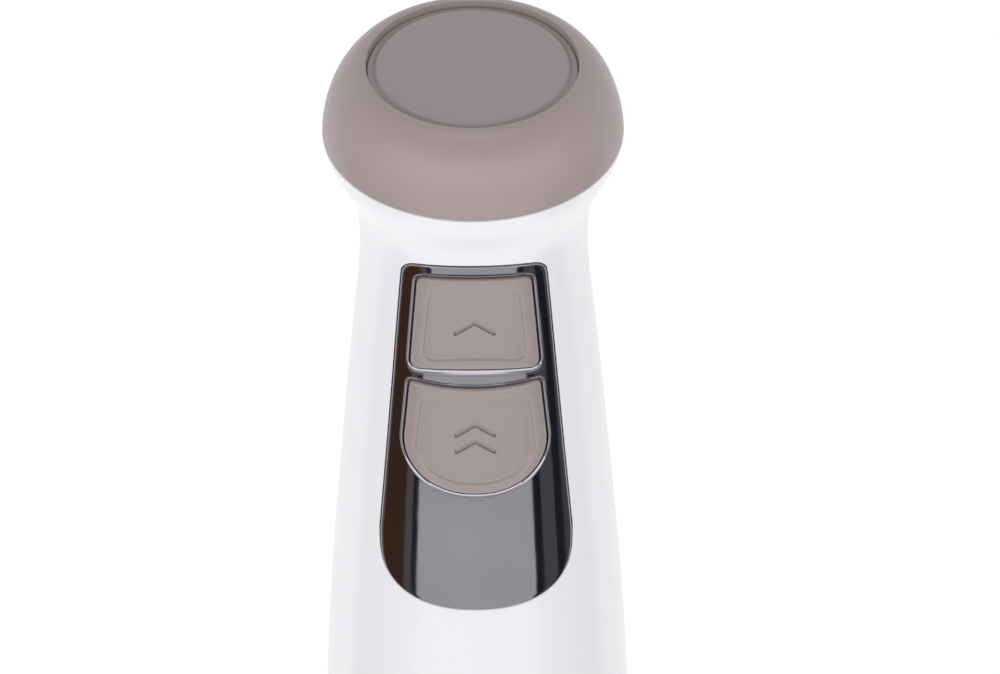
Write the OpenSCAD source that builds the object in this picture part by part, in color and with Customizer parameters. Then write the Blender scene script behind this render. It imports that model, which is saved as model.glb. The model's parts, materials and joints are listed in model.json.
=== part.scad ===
// Immersion blender: a motor unit that lifts off a stainless blending foot.
// Millimetres. +Z is up along the shaft, the buttons face -Y, and the origin is
// the centre of the bell's rim, where the blender stands.

/* [Blending foot] */
// Height of the seam between the foot and the motor unit
foot_h = 175; // [170:1:190]
// Outer radius of the bell at its rim
bell_r = 31.5; // [30:0.5:32.5]
// Height of the bell
bell_h = 50; // [48:1:54]
// Wall of the bell
bell_wall = 1.4; // [1.2:0.1:1.8]
// Width of each notch in the bell's rim
notch_w = 18; // [14:1:20]
// Radius of the shaft tube where it enters the collar
tube_top_r = 12.6; // [11.5:0.1:12.6]
// Radius of the shaft tube where it meets the bell
tube_low_r = 9.8; // [9:0.1:10.2]
// Radius that the blade's tips sweep
blade_tip_r = 24; // [20:0.5:26]
// Radius of the drive shaft
shaft_r = 2.5; // [2:0.1:2.6]

/* [Grip] */
// Height from the seam to the widest level of the head
grip_h = 203.4; // [203.4:0.1:210]
// Wall of the housing shells
wall = 2.4; // [2:0.1:2.6]
// Rise of the cap's lip over the widest level
dome_h = 16.6; // [15.5:0.1:18]
// Radius of the disc let into the cap
disc_r = 20.1; // [18:0.1:20.3]
// Depth of the disc's face under the cap's lip
disc_drop = 0.75; // [0.4:0.05:1]

/* [Buttons] */
// Travel of the speed and turbo buttons
press = 1.6; // [1:0.1:1.6]
// Gap around each button
button_gap = 0.35; // [0.25:0.05:0.45]
// How far the buttons stand out of the grip
proud = 0.9; // [0.6:0.1:1.2]
// How far the two release buttons stand out of the grip
release_proud = 1.3; // [1:0.1:1.3]

/* [Motor] */
// Outer radius of the stator
stator_r = 25; // [24:0.1:25.2]
// Height of the lamination stacks
stack_h = 30; // [26:1:30]
// Radius of the armature
armature_r = 14.8; // [14:0.1:14.8]
// Radius of the motor shaft
motor_shaft_r = 3; // [2.5:0.1:3]
// Radius of the cord's hole through its gland
inlet_r = 3.6; // [3:0.1:4]

/* [Hidden] */
$fn = 64;
eps = 0.01;
clear = 0.03;         // running clearance of a shaft in its bearing
seam = 0.1;           // gap where two housing parts meet
head_z = foot_h + grip_h;
cap_seam = 1.1;       // seam between the shells and the cap, over the widest level
far = 60;

// Levels of the coupling between the foot and the motor unit
groove_z = foot_h + 16.3;
latch_z = foot_h + 16.5;
latch_h = 3;
latch_half_x = 22.5;
spigot_r = 18.8;
spigot_top = foot_h + 24.5;
socket_r = spigot_r + 0.4;
tube_wall_r = socket_r + 1.6;
post_at = 24;
post_r = 2.2;
base_screw_r = 1;
band_h = 6;
release_z = foot_h + 18;
cup_z = foot_h + 20;
cup_top = foot_h + 29.5;
bush_r = 4.5;

// Levels of the motor, from the bottom up
stack_z = foot_h + 59;
stack_top = stack_z + stack_h;
low_bearing_z = stack_z - 24;
fan_z = stack_z - 16.5;
comm_z = stack_top + 9;
comm_h = 14;
brush_z = comm_z + comm_h / 2;
top_bearing_z = stack_top + 25;
bearing_h = 6;
bearing_r = 9.5;
motor_top = top_bearing_z + bearing_h + 1;

// Levels of the switch gear in the neck
board_z0 = head_z - 69.4;
board_z1 = head_z - 15.4;
speed_z = head_z - 30.4;
turbo_z = head_z - 57.4;
board_y = -6.6;
board_t = 1.6;
plate_y = -15;
plate_t = 1.4;
screw_x = 5.6;
screw_rows = [head_z - 64.9, head_z - 19.9];
switch_y = -13.2;
plunger_y = -10;      // where the plungers end at rest
plunger_r = 1.5;
shell_screw = [12, head_z - 75.4];
clip_rows = [-28, -52, -84];
bezel_t = 1.35;
inlet_z = head_z - 20;

WHITE = [0.93, 0.93, 0.94];
TAUPE = [0.62, 0.56, 0.55];
CHROME = [0.62, 0.62, 0.65];
STEEL = [0.75, 0.75, 0.77];
DARK = [0.18, 0.18, 0.19];
COPPER = [0.72, 0.42, 0.25];
BRASS = [0.78, 0.66, 0.38];
RUBBER = [0.12, 0.12, 0.12];

// ---- Outlines -------------------------------------------------------------

// Grip radius against height over the head's widest level, from the seam up
GRIP = [[-grip_h, 26.6], [-192, 29.9], [-180, 31.9], [-165, 32.8], [-150, 32.5], [-120, 30.8],
    [-90, 28.35], [-60, 25.6], [-45, 24.1], [-30, 22.65], [-22, 22.45], [-15, 23],
    [-10, 24.55], [-6, 26.6], [-2, 28.5], [1.1, 29.05]];
head_r = 29.1;

function slope(p, i) =
    i == 0 ? (p[1][1] - p[0][1]) / (p[1][0] - p[0][0])
    : i == len(p) - 1 ? (p[i][1] - p[i - 1][1]) / (p[i][0] - p[i - 1][0])
    : (p[i + 1][1] - p[i - 1][1]) / (p[i + 1][0] - p[i - 1][0]);

// Cubic curve through the points of p between points i and i + 1, at share t
function curve_at(p, i, t) =
    let (w = p[i + 1][0] - p[i][0], t2 = t * t, t3 = t2 * t)
    (2 * t3 - 3 * t2 + 1) * p[i][1] + (t3 - 2 * t2 + t) * w * slope(p, i)
    + (3 * t2 - 2 * t3) * p[i + 1][1] + (t3 - t2) * w * slope(p, i + 1);

function seg_of(p, x, i = 0) = i >= len(p) - 2 || x < p[i + 1][0] ? i : seg_of(p, x, i + 1);
function curve(p, x) = let (i = seg_of(p, x)) curve_at(p, i, (x - p[i][0]) / (p[i + 1][0] - p[i][0]));

// Radius of the grip's outside at height z
function grip_r(z) = curve(GRIP, z - head_z);

// Heights at which the grip's outline is drawn, closer together at the head
function levels(z0, z1, step) = [for (i = [0:ceil((z1 - z0) / step)]) min(z1, z0 + i * step)];
function grip_levels(z0, z1) = concat(
    [for (z = levels(z0, min(z1, head_z - 24), 5)) if (z < min(z1, head_z - 24) - 0.5) z],
    [for (z = levels(max(z0, head_z - 24), z1, 1.6)) z]);

// Solid inside the grip's outline moved out by d, between two heights
module grip_solid(z0, z1, d = 0) {
    zs = grip_levels(z0, z1);
    rotate_extrude() polygon(concat([[0, z0]], [for (z = zs) [grip_r(z) + d, z]], [[0, z1]]));
}

module grip_skin(z0, z1, outer, inner) {
    zs = grip_levels(z0, z1);
    n = len(zs);
    rotate_extrude() polygon(concat([for (z = zs) [grip_r(z) + outer, z]],
        [for (i = [n - 1:-1:0]) [grip_r(zs[i]) + inner, zs[i]]]));
}

// Outline drawn on the front, in X and height under the head, cut along Y
module front_prism(y0 = -far, y1 = 0) {
    translate([0, y1, head_z]) rotate([90, 0, 0]) linear_extrude(y1 - y0) children();
}

// Arc that rises by `rise` over a chord from -half to half at height z
function bowed(half, z, rise, n = 12) =
    let (r = (half * half + rise * rise) / (2 * abs(rise)), a = asin(half / r), s = sign(rise))
    [for (i = [0:n]) let (t = a * (2 * i / n - 1)) [r * sin(t), z + s * (r * cos(t) - r * cos(a))]];

function reversed(p) = [for (i = [len(p) - 1:-1:0]) p[i]];

// Lower half of a superellipse, from its left end to its right end
function belly(half, depth, z, power, n = 24) =
    [for (i = [0:n]) let (a = 180 * i / n, c = cos(a), s = sin(a))
        [-sign(c) * half * pow(abs(c), 2 / power), z - depth * pow(s, 2 / power)]];

module rounded(r) {
    offset(r = r) offset(delta = -r) children();
}

module bezel_outline() {
    rounded(2.4) polygon(concat(reversed(bowed(13.8, -17.6, 2.9)), belly(19.4, 14.5, -85, 3.6)));
}

module speed_outline() {
    rounded(1.6) polygon(concat(reversed(bowed(10.95, -19.4, 1.6)), bowed(12.75, -41.3, 1.6)));
}

module turbo_outline() {
    rounded(1.3) polygon(concat(reversed(bowed(12.8, -44.9, 0.5)), belly(14.15, 10.7, -59, 2.35)));
}

// Upward chevron centred on height z
module chevron(z) {
    for (side = [-1, 1]) translate([side * 2.1, z]) rotate(-side * 38) square([5.4, 1.1], center = true);
}

// ---- Plain shapes ---------------------------------------------------------

module ring(r_out, r_in, z0, z1) {
    translate([0, 0, z0]) difference() {
        cylinder(r = r_out, h = z1 - z0);
        translate([0, 0, -1]) cylinder(r = r_in, h = z1 - z0 + 2);
    }
}

module rod(r, z0, z1) {
    translate([0, 0, z0]) cylinder(r = r, h = z1 - z0);
}

// Cylinder along Y between two depths
module rod_y(r, y0, y1, x, z) {
    translate([x, y1, z]) rotate([90, 0, 0]) cylinder(r = r, h = y1 - y0);
}

module block(x, y, z) {
    translate([x[0], y[0], z[0]]) cube([x[1] - x[0], y[1] - y[0], z[1] - z[0]]);
}

module sector(r_out, r_in, z0, z1, mid, width) {
    rotate([0, 0, mid - width / 2]) rotate_extrude(angle = width)
        translate([r_in, z0]) square([r_out - r_in, z1 - z0]);
}

module four(r) {
    for (a = [45:90:315]) rotate([0, 0, a]) translate([r, 0, 0]) children();
}

module cross_screw(r, head_r, head_h, length) {
    difference() {
        union() {
            cylinder(r = head_r, h = head_h);
            translate([0, 0, -length]) cylinder(r = r, h = length + eps);
        }
        for (a = [0, 90]) rotate([0, 0, a])
            translate([0, 0, head_h]) cube([head_r * 1.1, 0.5, head_h], center = true);
    }
}

// Round wire wound along Z as one closed mesh
module coil_spring(mean_r, wire_r, height, turns, sides = 6, per_turn = 14) {
    n = round(turns * per_turn);
    rise = height - 2 * wire_r;
    pts = [for (i = [0:n], j = [0:sides - 1])
        let (a = 360 * i / per_turn, b = 360 * j / sides, q = mean_r + wire_r * cos(b))
        [q * cos(a), q * sin(a), wire_r + rise * i / n + wire_r * sin(b)]];
    skin = [for (i = [0:n - 1], j = [0:sides - 1])
        let (k = (j + 1) % sides, a = i * sides, b = (i + 1) * sides)
        each [[a + j, b + k, a + k], [a + j, b + j, b + k]]];
    last = n * sides;
    ends = [for (j = [1:sides - 2]) each [[0, j, j + 1], [last, last + j + 1, last + j]]];
    polyhedron(points = pts, faces = concat(skin, ends));
}

// ---- Cap ------------------------------------------------------------------

dome_foot = 0.8;
lip_r = disc_r + 0.5;
cap_floor = 11.6;
dome_power = 1.8;     // 2 would make the dome's section an ellipse
cap_screw_z = 12.65;

function dome_r(z) =
    let (share = (z - dome_foot) / (dome_h - dome_foot))
    lip_r + (head_r - lip_r) * pow(max(0, 1 - pow(share, dome_power)), 1 / dome_power);

module top_cap() {
    steps = 14;
    foot = cap_seam + seam / 2;
    zs = [for (i = [0:steps]) foot + (dome_h - foot) * sin(90 * i / steps)];
    seat_r = disc_r + 0.3;
    seat_z = dome_h - disc_drop - 1.8;
    outside = [for (z = zs) [dome_r(z), z]];
    disc_seat = [[seat_r, dome_h], [seat_r, seat_z], [0, seat_z]];
    inside = reversed([for (z = zs) if (z > 3 && z < 11) [dome_r(z) - 2.2, z]]);
    skirt = [[23.2, 3], [23.2, -3.4], [24.8, -3.4], [24.8, cap_seam + seam / 2]];
    color(TAUPE) translate([0, 0, head_z]) difference() {
        rotate_extrude() polygon(concat(outside, disc_seat,
            [[0, cap_floor], [18, cap_floor], [22, 10.5]], inside, skirt));
        rod(1.8, 0, 20);
        rod(3.8, cap_screw_z - 0.05, 20);
    }
}

module cap_disc() {
    top = dome_h - disc_drop;
    color(TAUPE) translate([0, 0, head_z]) rotate_extrude() polygon([[0, top - 1.75], [disc_r, top - 1.75],
        [disc_r, top - 0.7], [disc_r - 0.2, top - 0.25], [disc_r - 0.7, top], [0, top]]);
}

module cap_screw() {
    color(STEEL) translate([0, 0, head_z + cap_screw_z]) cross_screw(1.2, 3.2, 1.2, 12);
}

// ---- Housing --------------------------------------------------------------

module release_window(grow) {
    for (side = [-1, 1]) release_prism(side, grow, far);
}

// Rounded release pad outline run along X, from the axis out to distance x
module release_prism(side, grow, x) {
    rotate([0, 0, side > 0 ? 0 : 180]) translate([0, 0, release_z]) rotate([90, 0, 90]) linear_extrude(x)
        offset(r = 4 + grow) square([4.6, 5], center = true);
}

module housing() {
    difference() {
        union() {
            grip_skin(foot_h + band_h + seam, head_z + cap_seam - seam / 2, 0, -wall);
            // Pillars that the base screws bite into
            intersection() {
                four(post_at) union() {
                    rod(post_r, cup_z + 2.6, cup_z + 14);
                    block([0, far], [-1, 1], [cup_z + 4, cup_z + 14]);
                }
                grip_solid(foot_h + band_h + seam, head_z, -wall / 2);
            }
        }
        four(post_at) rod(base_screw_r + 0.05, foot_h, cup_z + 12);
        release_window(0.4);
    }
}

// Boss on the inner wall that a shell screw passes through or bites into
module shell_boss(y0, y1, hole_r) {
    intersection() {
        for (side = [-1, 1]) difference() {
            rod_y(3.1, y0, y1, side * shell_screw[0], shell_screw[1]);
            rod_y(hole_r, y0 - 1, y1 + 1, side * shell_screw[0], shell_screw[1]);
        }
        grip_solid(head_z - 90, head_z - 60, -wall / 2);
    }
}

module front_shell() {
    color(WHITE) difference() {
        union() {
            intersection() {
                housing();
                block([-far, far], [-far, -seam / 2], [0, 2 * head_z]);
            }
            shell_boss(-far, -10, 1.5);
        }
        // Seat for the bezel
        difference() {
            front_prism() offset(delta = 0.12) bezel_outline();
            grip_solid(foot_h, head_z, -1.5);
        }
        front_prism() offset(delta = 0.9) speed_outline();
        front_prism() offset(delta = 0.9) turbo_outline();
        for (side = [-1, 1]) {
            rod_y(1.5, -far, -9, side * shell_screw[0], shell_screw[1]);
            rod_y(2.6, -far, screw_seat_y, side * shell_screw[0], shell_screw[1]);
        }
        // Slots for the bezel's clips
        for (z = clip_rows) clip_slot(z, 0.15);
    }
}

module rear_shell() {
    color(WHITE) difference() {
        union() {
            intersection() {
                housing();
                block([-far, far], [seam / 2, far], [0, 2 * head_z]);
            }
            shell_boss(-9.9, far, 1.3);
        }
        rod_y(6.1, 0, far, 0, inlet_z);
        // Air outlets low on the back, and air inlets under the head
        for (i = [-4:4]) rotate([0, 0, i * 9]) vent(2.4, foot_h + 31, foot_h + 45);
        for (i = [-5:5]) if (abs(i) > 1) rotate([0, 0, i * 11.5]) vent(1.8, head_z - 42, head_z - 33);
    }
}

// Upright slot with round ends through the back wall
module vent(w, z0, z1) {
    rod_y(w / 2, 15, far, 0, z0 + w / 2);
    rod_y(w / 2, 15, far, 0, z1 - w / 2);
    block([-w / 2, w / 2], [15, far], [z0 + w / 2, z1 - w / 2]);
}

module shell_screws() {
    color(STEEL) for (side = [-1, 1]) translate([side * shell_screw[0], screw_seat_y, shell_screw[1]])
        rotate([90, 0, 0]) cross_screw(1.25, 2.4, 1.3, 22);
}

// ---- Bezel and buttons ----------------------------------------------------

// Where the shell screws' heads seat, just behind the bezel
screw_seat_y = 1.5 - sqrt(pow(grip_r(shell_screw[1]) - bezel_t, 2) - pow(shell_screw[0] + 2.4, 2));

// Half width of the bezel at height z under the head
function bezel_half(z) = 14.5 + (19.4 - 14.5) * (-z - 18) / 67;

module clip_slot(z, grow) {
    for (side = [-1, 1]) {
        x = side * (bezel_half(z) - 0.75);
        translate([0, 0, head_z])
            block([x - 0.5 - grow, x + 0.5 + grow], [-far, -8], [z - 2.2 - grow, z + 2.2 + grow]);
    }
}

module bezel_clips() {
    for (z = clip_rows) intersection() {
        clip_slot(z, 0);
        grip_skin(head_z - 97, head_z - 22, -1, -3.6);
    }
}

module button_bezel() {
    color(CHROME) difference() {
        union() {
            intersection() {
                front_prism() bezel_outline();
                grip_skin(head_z - 101, head_z - 13, 0.25, -bezel_t);
            }
            // Bead round each opening
            intersection() {
                front_prism() union() {
                    offset(delta = button_gap + 0.9) speed_outline();
                    offset(delta = button_gap + 0.9) turbo_outline();
                }
                grip_skin(head_z - 80, head_z - 15, 0.6, -bezel_t + 0.05);
            }
            bezel_clips();
        }
        front_prism() offset(delta = button_gap) speed_outline();
        front_prism() offset(delta = button_gap) turbo_outline();
    }
}

// Button whose face follows the grip, with a sunk field, a flange behind and a stem
module press_button(stem_z, mark_depth = 0.45) {
    back = grip_r(stem_z) - 3.9;
    z0 = head_z - 76;
    z1 = head_z - 14;
    difference() {
        union() {
            intersection() {
                front_prism() children(0);
                grip_solid(z0, z1, proud);
            }
            intersection() {
                front_prism() offset(delta = 1.7) children(0);
                grip_solid(z0, z1, -wall - 0.3);
            }
        }
        grip_solid(z0 - 5, z1 + 5, -3.9);
        block([-far, far], [0, far], [z0 - 6, z1 + 6]);
        // Sunk field with its mark
        difference() {
            front_prism() offset(delta = -2.4) children(0);
            grip_solid(z0, z1, proud - 0.6);
        }
        difference() {
            front_prism() children(1);
            grip_solid(z0, z1, proud - 0.6 - mark_depth);
        }
    }
    rod_y(2.2, -back - 0.6, plate_y - 0.2, 0, stem_z);
}

module speed_button() {
    color(TAUPE) press_button(speed_z) {
        speed_outline();
        chevron(-30.4);
    }
}

module turbo_button() {
    color(TAUPE) press_button(turbo_z) {
        turbo_outline();
        union() {
            chevron(-54.6);
            chevron(-58.6);
        }
    }
}

module button_spring(z) {
    back = grip_r(z) - 3.9;
    length = back + plate_y - 0.55;
    translate([0, plate_y - 0.02, z]) rotate([90, 0, 0]) coil_spring(3.1, 0.25, length, 2, 6, 18);
}

module speed_button_spring() {
    color(STEEL) button_spring(speed_z);
}

module turbo_button_spring() {
    color(STEEL) button_spring(turbo_z);
}

module speed_plunger() {
    color(DARK) rod_y(plunger_r, plate_y, plunger_y, 0, speed_z);
}

module turbo_plunger() {
    color(DARK) rod_y(plunger_r, plate_y, plunger_y, 0, turbo_z);
}

// ---- Switch gear ----------------------------------------------------------

module screw_places() {
    for (side = [-1, 1], z = screw_rows) translate([side * screw_x, 0, z]) children();
}

module button_frame() {
    color(DARK) difference() {
        union() {
            block([-7.8, 7.8], [plate_y, plate_y + plate_t], [board_z0 + 1, board_z1 - 1.5]);
            screw_places() rod_y(2.1, plate_y, board_y - 0.02, 0, 0);
        }
        for (z = [speed_z, turbo_z]) rod_y(2.6, -far, far, 0, z);
        screw_places() {
            rod_y(1.25, -far, far, 0, 0);
            rod_y(1.9, -far, plate_y + 1, 0, 0);
        }
    }
}

module switch_board() {
    color([0.15, 0.35, 0.2]) difference() {
        block([-14, 14], [board_y, board_y + board_t], [board_z0, board_z1]);
        screw_places() rod_y(1.3, -far, far, 0, 0);
    }
}

module micro_switch(z) {
    difference() {
        union() {
            block([-2.9, 2.9], [switch_y, board_y - 0.02], [z - 6.4, z + 6.4]);
            rod_y(2.3, switch_y - 0.3, switch_y + 1, 0, z);
        }
        rod_y(plunger_r + 0.15, -far, plunger_y + press + 0.4, 0, z);
        for (dz = [-4.6, 4.6]) translate([0, 0, z + dz])
            rotate([0, 90, 0]) cylinder(r = 0.9, h = far, center = true);
    }
}

module speed_switch() {
    color([0.7, 0.2, 0.15]) micro_switch(speed_z);
}

module turbo_switch() {
    color(DARK) micro_switch(turbo_z);
}

module speed_diode() {
    z = (speed_z + turbo_z) / 2;
    color(DARK) union() {
        translate([9.5, board_y - 2.2, z - 2.6]) cylinder(r = 1.4, h = 5.2);
        translate([9.5, board_y - 2.2, z - 5.5]) cylinder(r = 0.4, h = 11);
        for (dz = [-5, 5]) rod_y(0.3, board_y - 2.2, board_y - 0.02, 9.5, z + dz);
    }
}

module board_screws() {
    color(STEEL) screw_places() translate([0, plate_y + 0.98, 0]) rotate([90, 0, 0])
        cross_screw(1.05, 1.8, 0.9, 13);
}

module chassis() {
    color(DARK) difference() {
        union() {
            block([-8, 8], [1, 3.5], [motor_top + 1, head_z - 6]);
            rod(19, head_z - 8.5, head_z - 6);
            rod(4, head_z - 6.1, head_z + cap_floor - 0.1);
            ring(22, 8, motor_top, motor_top + 2.5);
            for (side = [-1, 1]) translate([side * 7.5, 0, 0])
                block([-0.9, 0.9], [-3, 3.5], [motor_top + 1, head_z - 7]);
            screw_places() rod_y(2.3, board_y + board_t + 0.02, 1.5, 0, 0);
        }
        rod(1.25, head_z - 4, far + head_z);
        screw_places() rod_y(1.1, -far, 2.6, 0, 0);
        // Way through for the mains leads
        block([-6, 6], [6, 12], [head_z - 10, head_z]);
        chassis_screw_places() rod(1.7, motor_top - 1, motor_top + 4);
    }
}

module terminal_block() {
    z = head_z - 44;
    color(WHITE) difference() {
        block([-8, 8], [3.52, 11], [z - 5, z + 5]);
        for (x = [-4, 4]) {
            rod_y(1.7, 5, far, x, z);
            translate([x, 7.2, z - 6]) cylinder(r = 1.3, h = 12);
        }
    }
}

module suppression_capacitor() {
    color([0.85, 0.75, 0.3]) block([-9, 9], [3.52, 12], [head_z - 72, head_z - 55]);
}

module cord_gland() {
    color(TAUPE) difference() {
        union() {
            rod_y(7.6, 16.5, 18, 0, inlet_z);
            rod_y(6, 17, 25, 0, inlet_z);
            rod_y(7.4, 24.2, 25.6, 0, inlet_z);
            translate([0, 32, inlet_z]) rotate([90, 0, 0]) cylinder(r1 = 4.8, r2 = 6, h = 7);
        }
        rod_y(inlet_r, 10, far, 0, inlet_z);
    }
}

// ---- Base of the motor unit -----------------------------------------------

module base_collar() {
    lip = grip_r(foot_h + band_h) - wall - 0.15;
    color(TAUPE) difference() {
        union() {
            grip_skin(foot_h, foot_h + band_h, 0, -wall);
            ring(grip_r(foot_h) - 1, socket_r, foot_h, foot_h + 3);
            ring(tube_wall_r, socket_r, foot_h, latch_z - 0.4);
            ring(lip, lip - 1.6, foot_h + 2, foot_h + 9);
            intersection() {
                four(post_at) rod(post_r, foot_h + 1, cup_z - 0.05);
                grip_solid(foot_h, cup_z + 1, -wall - 0.15);
            }
        }
        four(post_at) {
            rod(base_screw_r + 0.3, foot_h - 1, far + foot_h);
            rod(2.1, foot_h - 1, foot_h + 2.2);
        }
        // Ways for the foot's keys
        for (a = [90, 270]) rotate([0, 0, a])
            block([10, tube_wall_r + 0.5], [-1.9, 1.9], [foot_h - 1, foot_h + 11]);
    }
}

module base_screws() {
    color(STEEL) four(post_at) translate([0, 0, foot_h + 2.15]) mirror([0, 0, 1])
        cross_screw(base_screw_r, 1.9, 1.4, 28);
}

module socket_cup() {
    color(DARK) difference() {
        union() {
            ring(21.4, socket_r, cup_z, cup_top - 2);
            ring(21.4, 9.2, cup_top - 2.5, cup_top);
            four(0) cup_ear();
        }
        four(post_at) rod(base_screw_r + 0.3, foot_h, far + foot_h);
    }
}

// Ear that the base screw passes through, joined to the cup's wall
module cup_ear() {
    translate([post_at, 0, 0]) rod(post_r, cup_z, cup_z + 2.5);
    block([20.5, post_at], [-2, 2], [cup_z, cup_z + 2.5]);
}

module socket_seal() {
    top = cup_top - 2.52;
    color(RUBBER) rotate_extrude() polygon([[9.6, top - 2.08], [11, top - 1.68], [13.5, top], [9.6, top]]);
}

// Springy oval ring: squeezed at the sides, it widens front to back and lets the spigot go
module latch_ring() {
    a = latch_half_x;
    b = 20.9;
    t = 1.1;
    color(STEEL) translate([0, 0, latch_z]) difference() {
        union() {
            linear_extrude(latch_h) difference() {
                polygon([for (i = [0:59]) [a * cos(6 * i), b * sin(6 * i)]]);
                polygon([for (i = [0:59]) [(a - t) * cos(6 * i), (b - t) * sin(6 * i)]]);
            }
            for (s = [-1, 1]) translate([0, s * 19, latch_h / 2]) cube([7, 2.4, 2.6], center = true);
        }
        cylinder(r = spigot_r - 0.9, h = 40, center = true);
    }
}

module release_button(side) {
    end = latch_half_x + 0.25;
    difference() {
        union() {
            intersection() {
                release_prism(side, 0, far);
                grip_solid(foot_h + 5, foot_h + 40, release_proud);
            }
            intersection() {
                release_prism(side, 1.3, far);
                grip_solid(foot_h + 5, foot_h + 40, -wall - 0.3);
            }
        }
        grip_solid(foot_h + 4, foot_h + 45, -4.2);
    }
    stem_x = grip_r(release_z) - 4.4;
    block(side > 0 ? [end, stem_x + 1] : [-stem_x - 1, -end], [-3.5, 3.5],
        [latch_z + 0.3, latch_z + latch_h - 0.3]);
}

module left_release_button() {
    color(TAUPE) release_button(-1);
}

module right_release_button() {
    color(TAUPE) release_button(1);
}

// ---- Motor ----------------------------------------------------------------

module motor_screw_places() {
    for (a = [90, 270]) rotate([0, 0, a]) translate([22.4, 0, 0]) children();
}

// Places of the two screws that hold the chassis on the upper bracket
module chassis_screw_places() {
    for (a = [0, 180]) rotate([0, 0, a]) translate([17, 0, 0]) children();
}

// Disc with a bearing seat and two legs that stand on the stack
module bracket(plate_z, leg_z0, leg_z1, seat_z, plate_r) {
    difference() {
        union() {
            ring(plate_r, 7, plate_z, plate_z + 3);
            ring(bearing_r + 2.5, motor_shaft_r + 1.5, seat_z, seat_z + bearing_h + 1.2);
            for (a = [90, 270]) sector(stator_r - 0.4, 20.2, leg_z0, leg_z1, a, 44);
        }
        motor_screw_places() rod(1.6, 0, 2 * head_z);
        for (a = [30:60:330]) rotate([0, 0, a]) translate([15.6, 0, 0])
            rod(2.3, plate_z - 1, plate_z + 4);
    }
}

module upper_bracket() {
    color(STEEL) difference() {
        bracket(top_bearing_z + 1.5, stack_top, top_bearing_z + 2, top_bearing_z - 1.2, 23.2);
        rod(bearing_r + clear, top_bearing_z, motor_top + 5);
        chassis_screw_places() rod(1.2, top_bearing_z, motor_top);
    }
}

module lower_bracket() {
    color(STEEL) difference() {
        bracket(low_bearing_z + 1.5, low_bearing_z + 2, stack_z, low_bearing_z, stator_r);
        rod(bearing_r + clear, low_bearing_z - 5, low_bearing_z + bearing_h);
    }
}

// Ball bearing with its two rings and shields
module bearing(z) {
    difference() {
        ring(bearing_r, motor_shaft_r + clear, z, z + bearing_h);
        ring(bearing_r - 1.8, motor_shaft_r + 1.7, z - 1, z + 0.5);
        ring(bearing_r - 1.8, motor_shaft_r + 1.7, z + bearing_h - 0.5, z + bearing_h + 1);
    }
}

module upper_bearing() {
    color(STEEL) bearing(top_bearing_z);
}

module lower_bearing() {
    color(STEEL) bearing(low_bearing_z);
}

bore_r = armature_r + 0.5;
yoke_r = 20;
pole_half = 8.5;

module stator_core() {
    color([0.35, 0.36, 0.4]) translate([0, 0, stack_z]) difference() {
        linear_extrude(stack_h) difference() {
            union() {
                difference() {
                    circle(stator_r);
                    circle(yoke_r);
                }
                square([2 * yoke_r + 2, 2 * pole_half], center = true);
                difference() {
                    circle(bore_r + 1.8);
                    for (s = [-1, 1]) translate([0, s * 25]) square([60, 24], center = true);
                }
            }
            circle(bore_r);
        }
        motor_screw_places() rod(1.6, -1, stack_h + 1);
        for (z = [3:3:stack_h - 3]) ring(stator_r + 1, stator_r - 0.25, z, z + 0.4);
    }
}

module field_coils() {
    r0 = bore_r + 2;
    r1 = yoke_r - 0.1;
    color(COPPER) for (a = [0, 180]) rotate([0, 0, a]) difference() {
        union() {
            for (s = [-1, 1]) sector(r1, r0, stack_z - 7, stack_top + 7, s * 41, 18);
            sector(r1 + 2, r0, stack_top + 1, stack_top + 7, 0, 100);
            sector(r1 + 2, r0, stack_z - 7, stack_z - 1, 0, 100);
        }
        block([-far, far], [-pole_half - 0.3, pole_half + 0.3], [stack_z - 0.6, stack_top + 0.6]);
    }
}

module brush_holders() {
    color(BRASS) for (a = [0, 180]) rotate([0, 0, a]) difference() {
        block([13, 24], [-3.6, 3.6], [brush_z - 5, brush_z + 5]);
        block([12, 23], [-2.6, 2.6], [brush_z - 4, brush_z + 4]);
    }
}

module carbon_brushes() {
    color(DARK) for (a = [0, 180]) rotate([0, 0, a]) difference() {
        block([8, 17.5], [-2.5, 2.5], [brush_z - 3.9, brush_z + 3.9]);
        rod(11.1, brush_z - 10, brush_z + 10);
    }
}

module brush_springs() {
    color(STEEL) for (a = [0, 180]) rotate([0, 0, a])
        translate([17.55, 0, brush_z]) rotate([0, 90, 0]) coil_spring(1.7, 0.25, 5.4, 4, 6, 12);
}

module motor_screws() {
    color(STEEL) motor_screw_places() translate([0, 0, low_bearing_z + 1.45]) mirror([0, 0, 1])
        cross_screw(1.5, 2.6, 1.5, top_bearing_z + 4 - low_bearing_z);
}

// Soft ring between the lower bracket and the housing
module motor_mount_ring() {
    z = low_bearing_z + 4.6;
    color(RUBBER) difference() {
        ring(grip_r(z) - wall - 0.6, stator_r + 0.05, z - 3, z);
        for (a = [0:30:330]) rotate([0, 0, a]) translate([stator_r + 3.2, 0, 0]) rod(1, z - 4, z + 1);
    }
}

// ---- Rotor ----------------------------------------------------------------

module motor_shaft() {
    color(STEEL) union() {
        rod(motor_shaft_r, foot_h + 26.5, motor_top);
    }
}

module armature_core() {
    color([0.4, 0.41, 0.45]) translate([0, 0, stack_z]) linear_extrude(stack_h) difference() {
        circle(armature_r);
        circle(motor_shaft_r + 0.02);
        for (a = [0:30:330]) rotate(a) translate([armature_r - 3.4, 0]) {
            circle(1.9);
            translate([0, -0.8]) square([6, 1.6]);
        }
    }
}

module end_winding(z, up) {
    translate([0, 0, z]) mirror([0, 0, up ? 0 : 1]) rotate_extrude()
        polygon([[5.2, 0.02], [13.6, 0.02], [13.9, 2.5], [13, 5.2], [11, 6.8], [8, 7.4], [5.2, 7]]);
}

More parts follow.
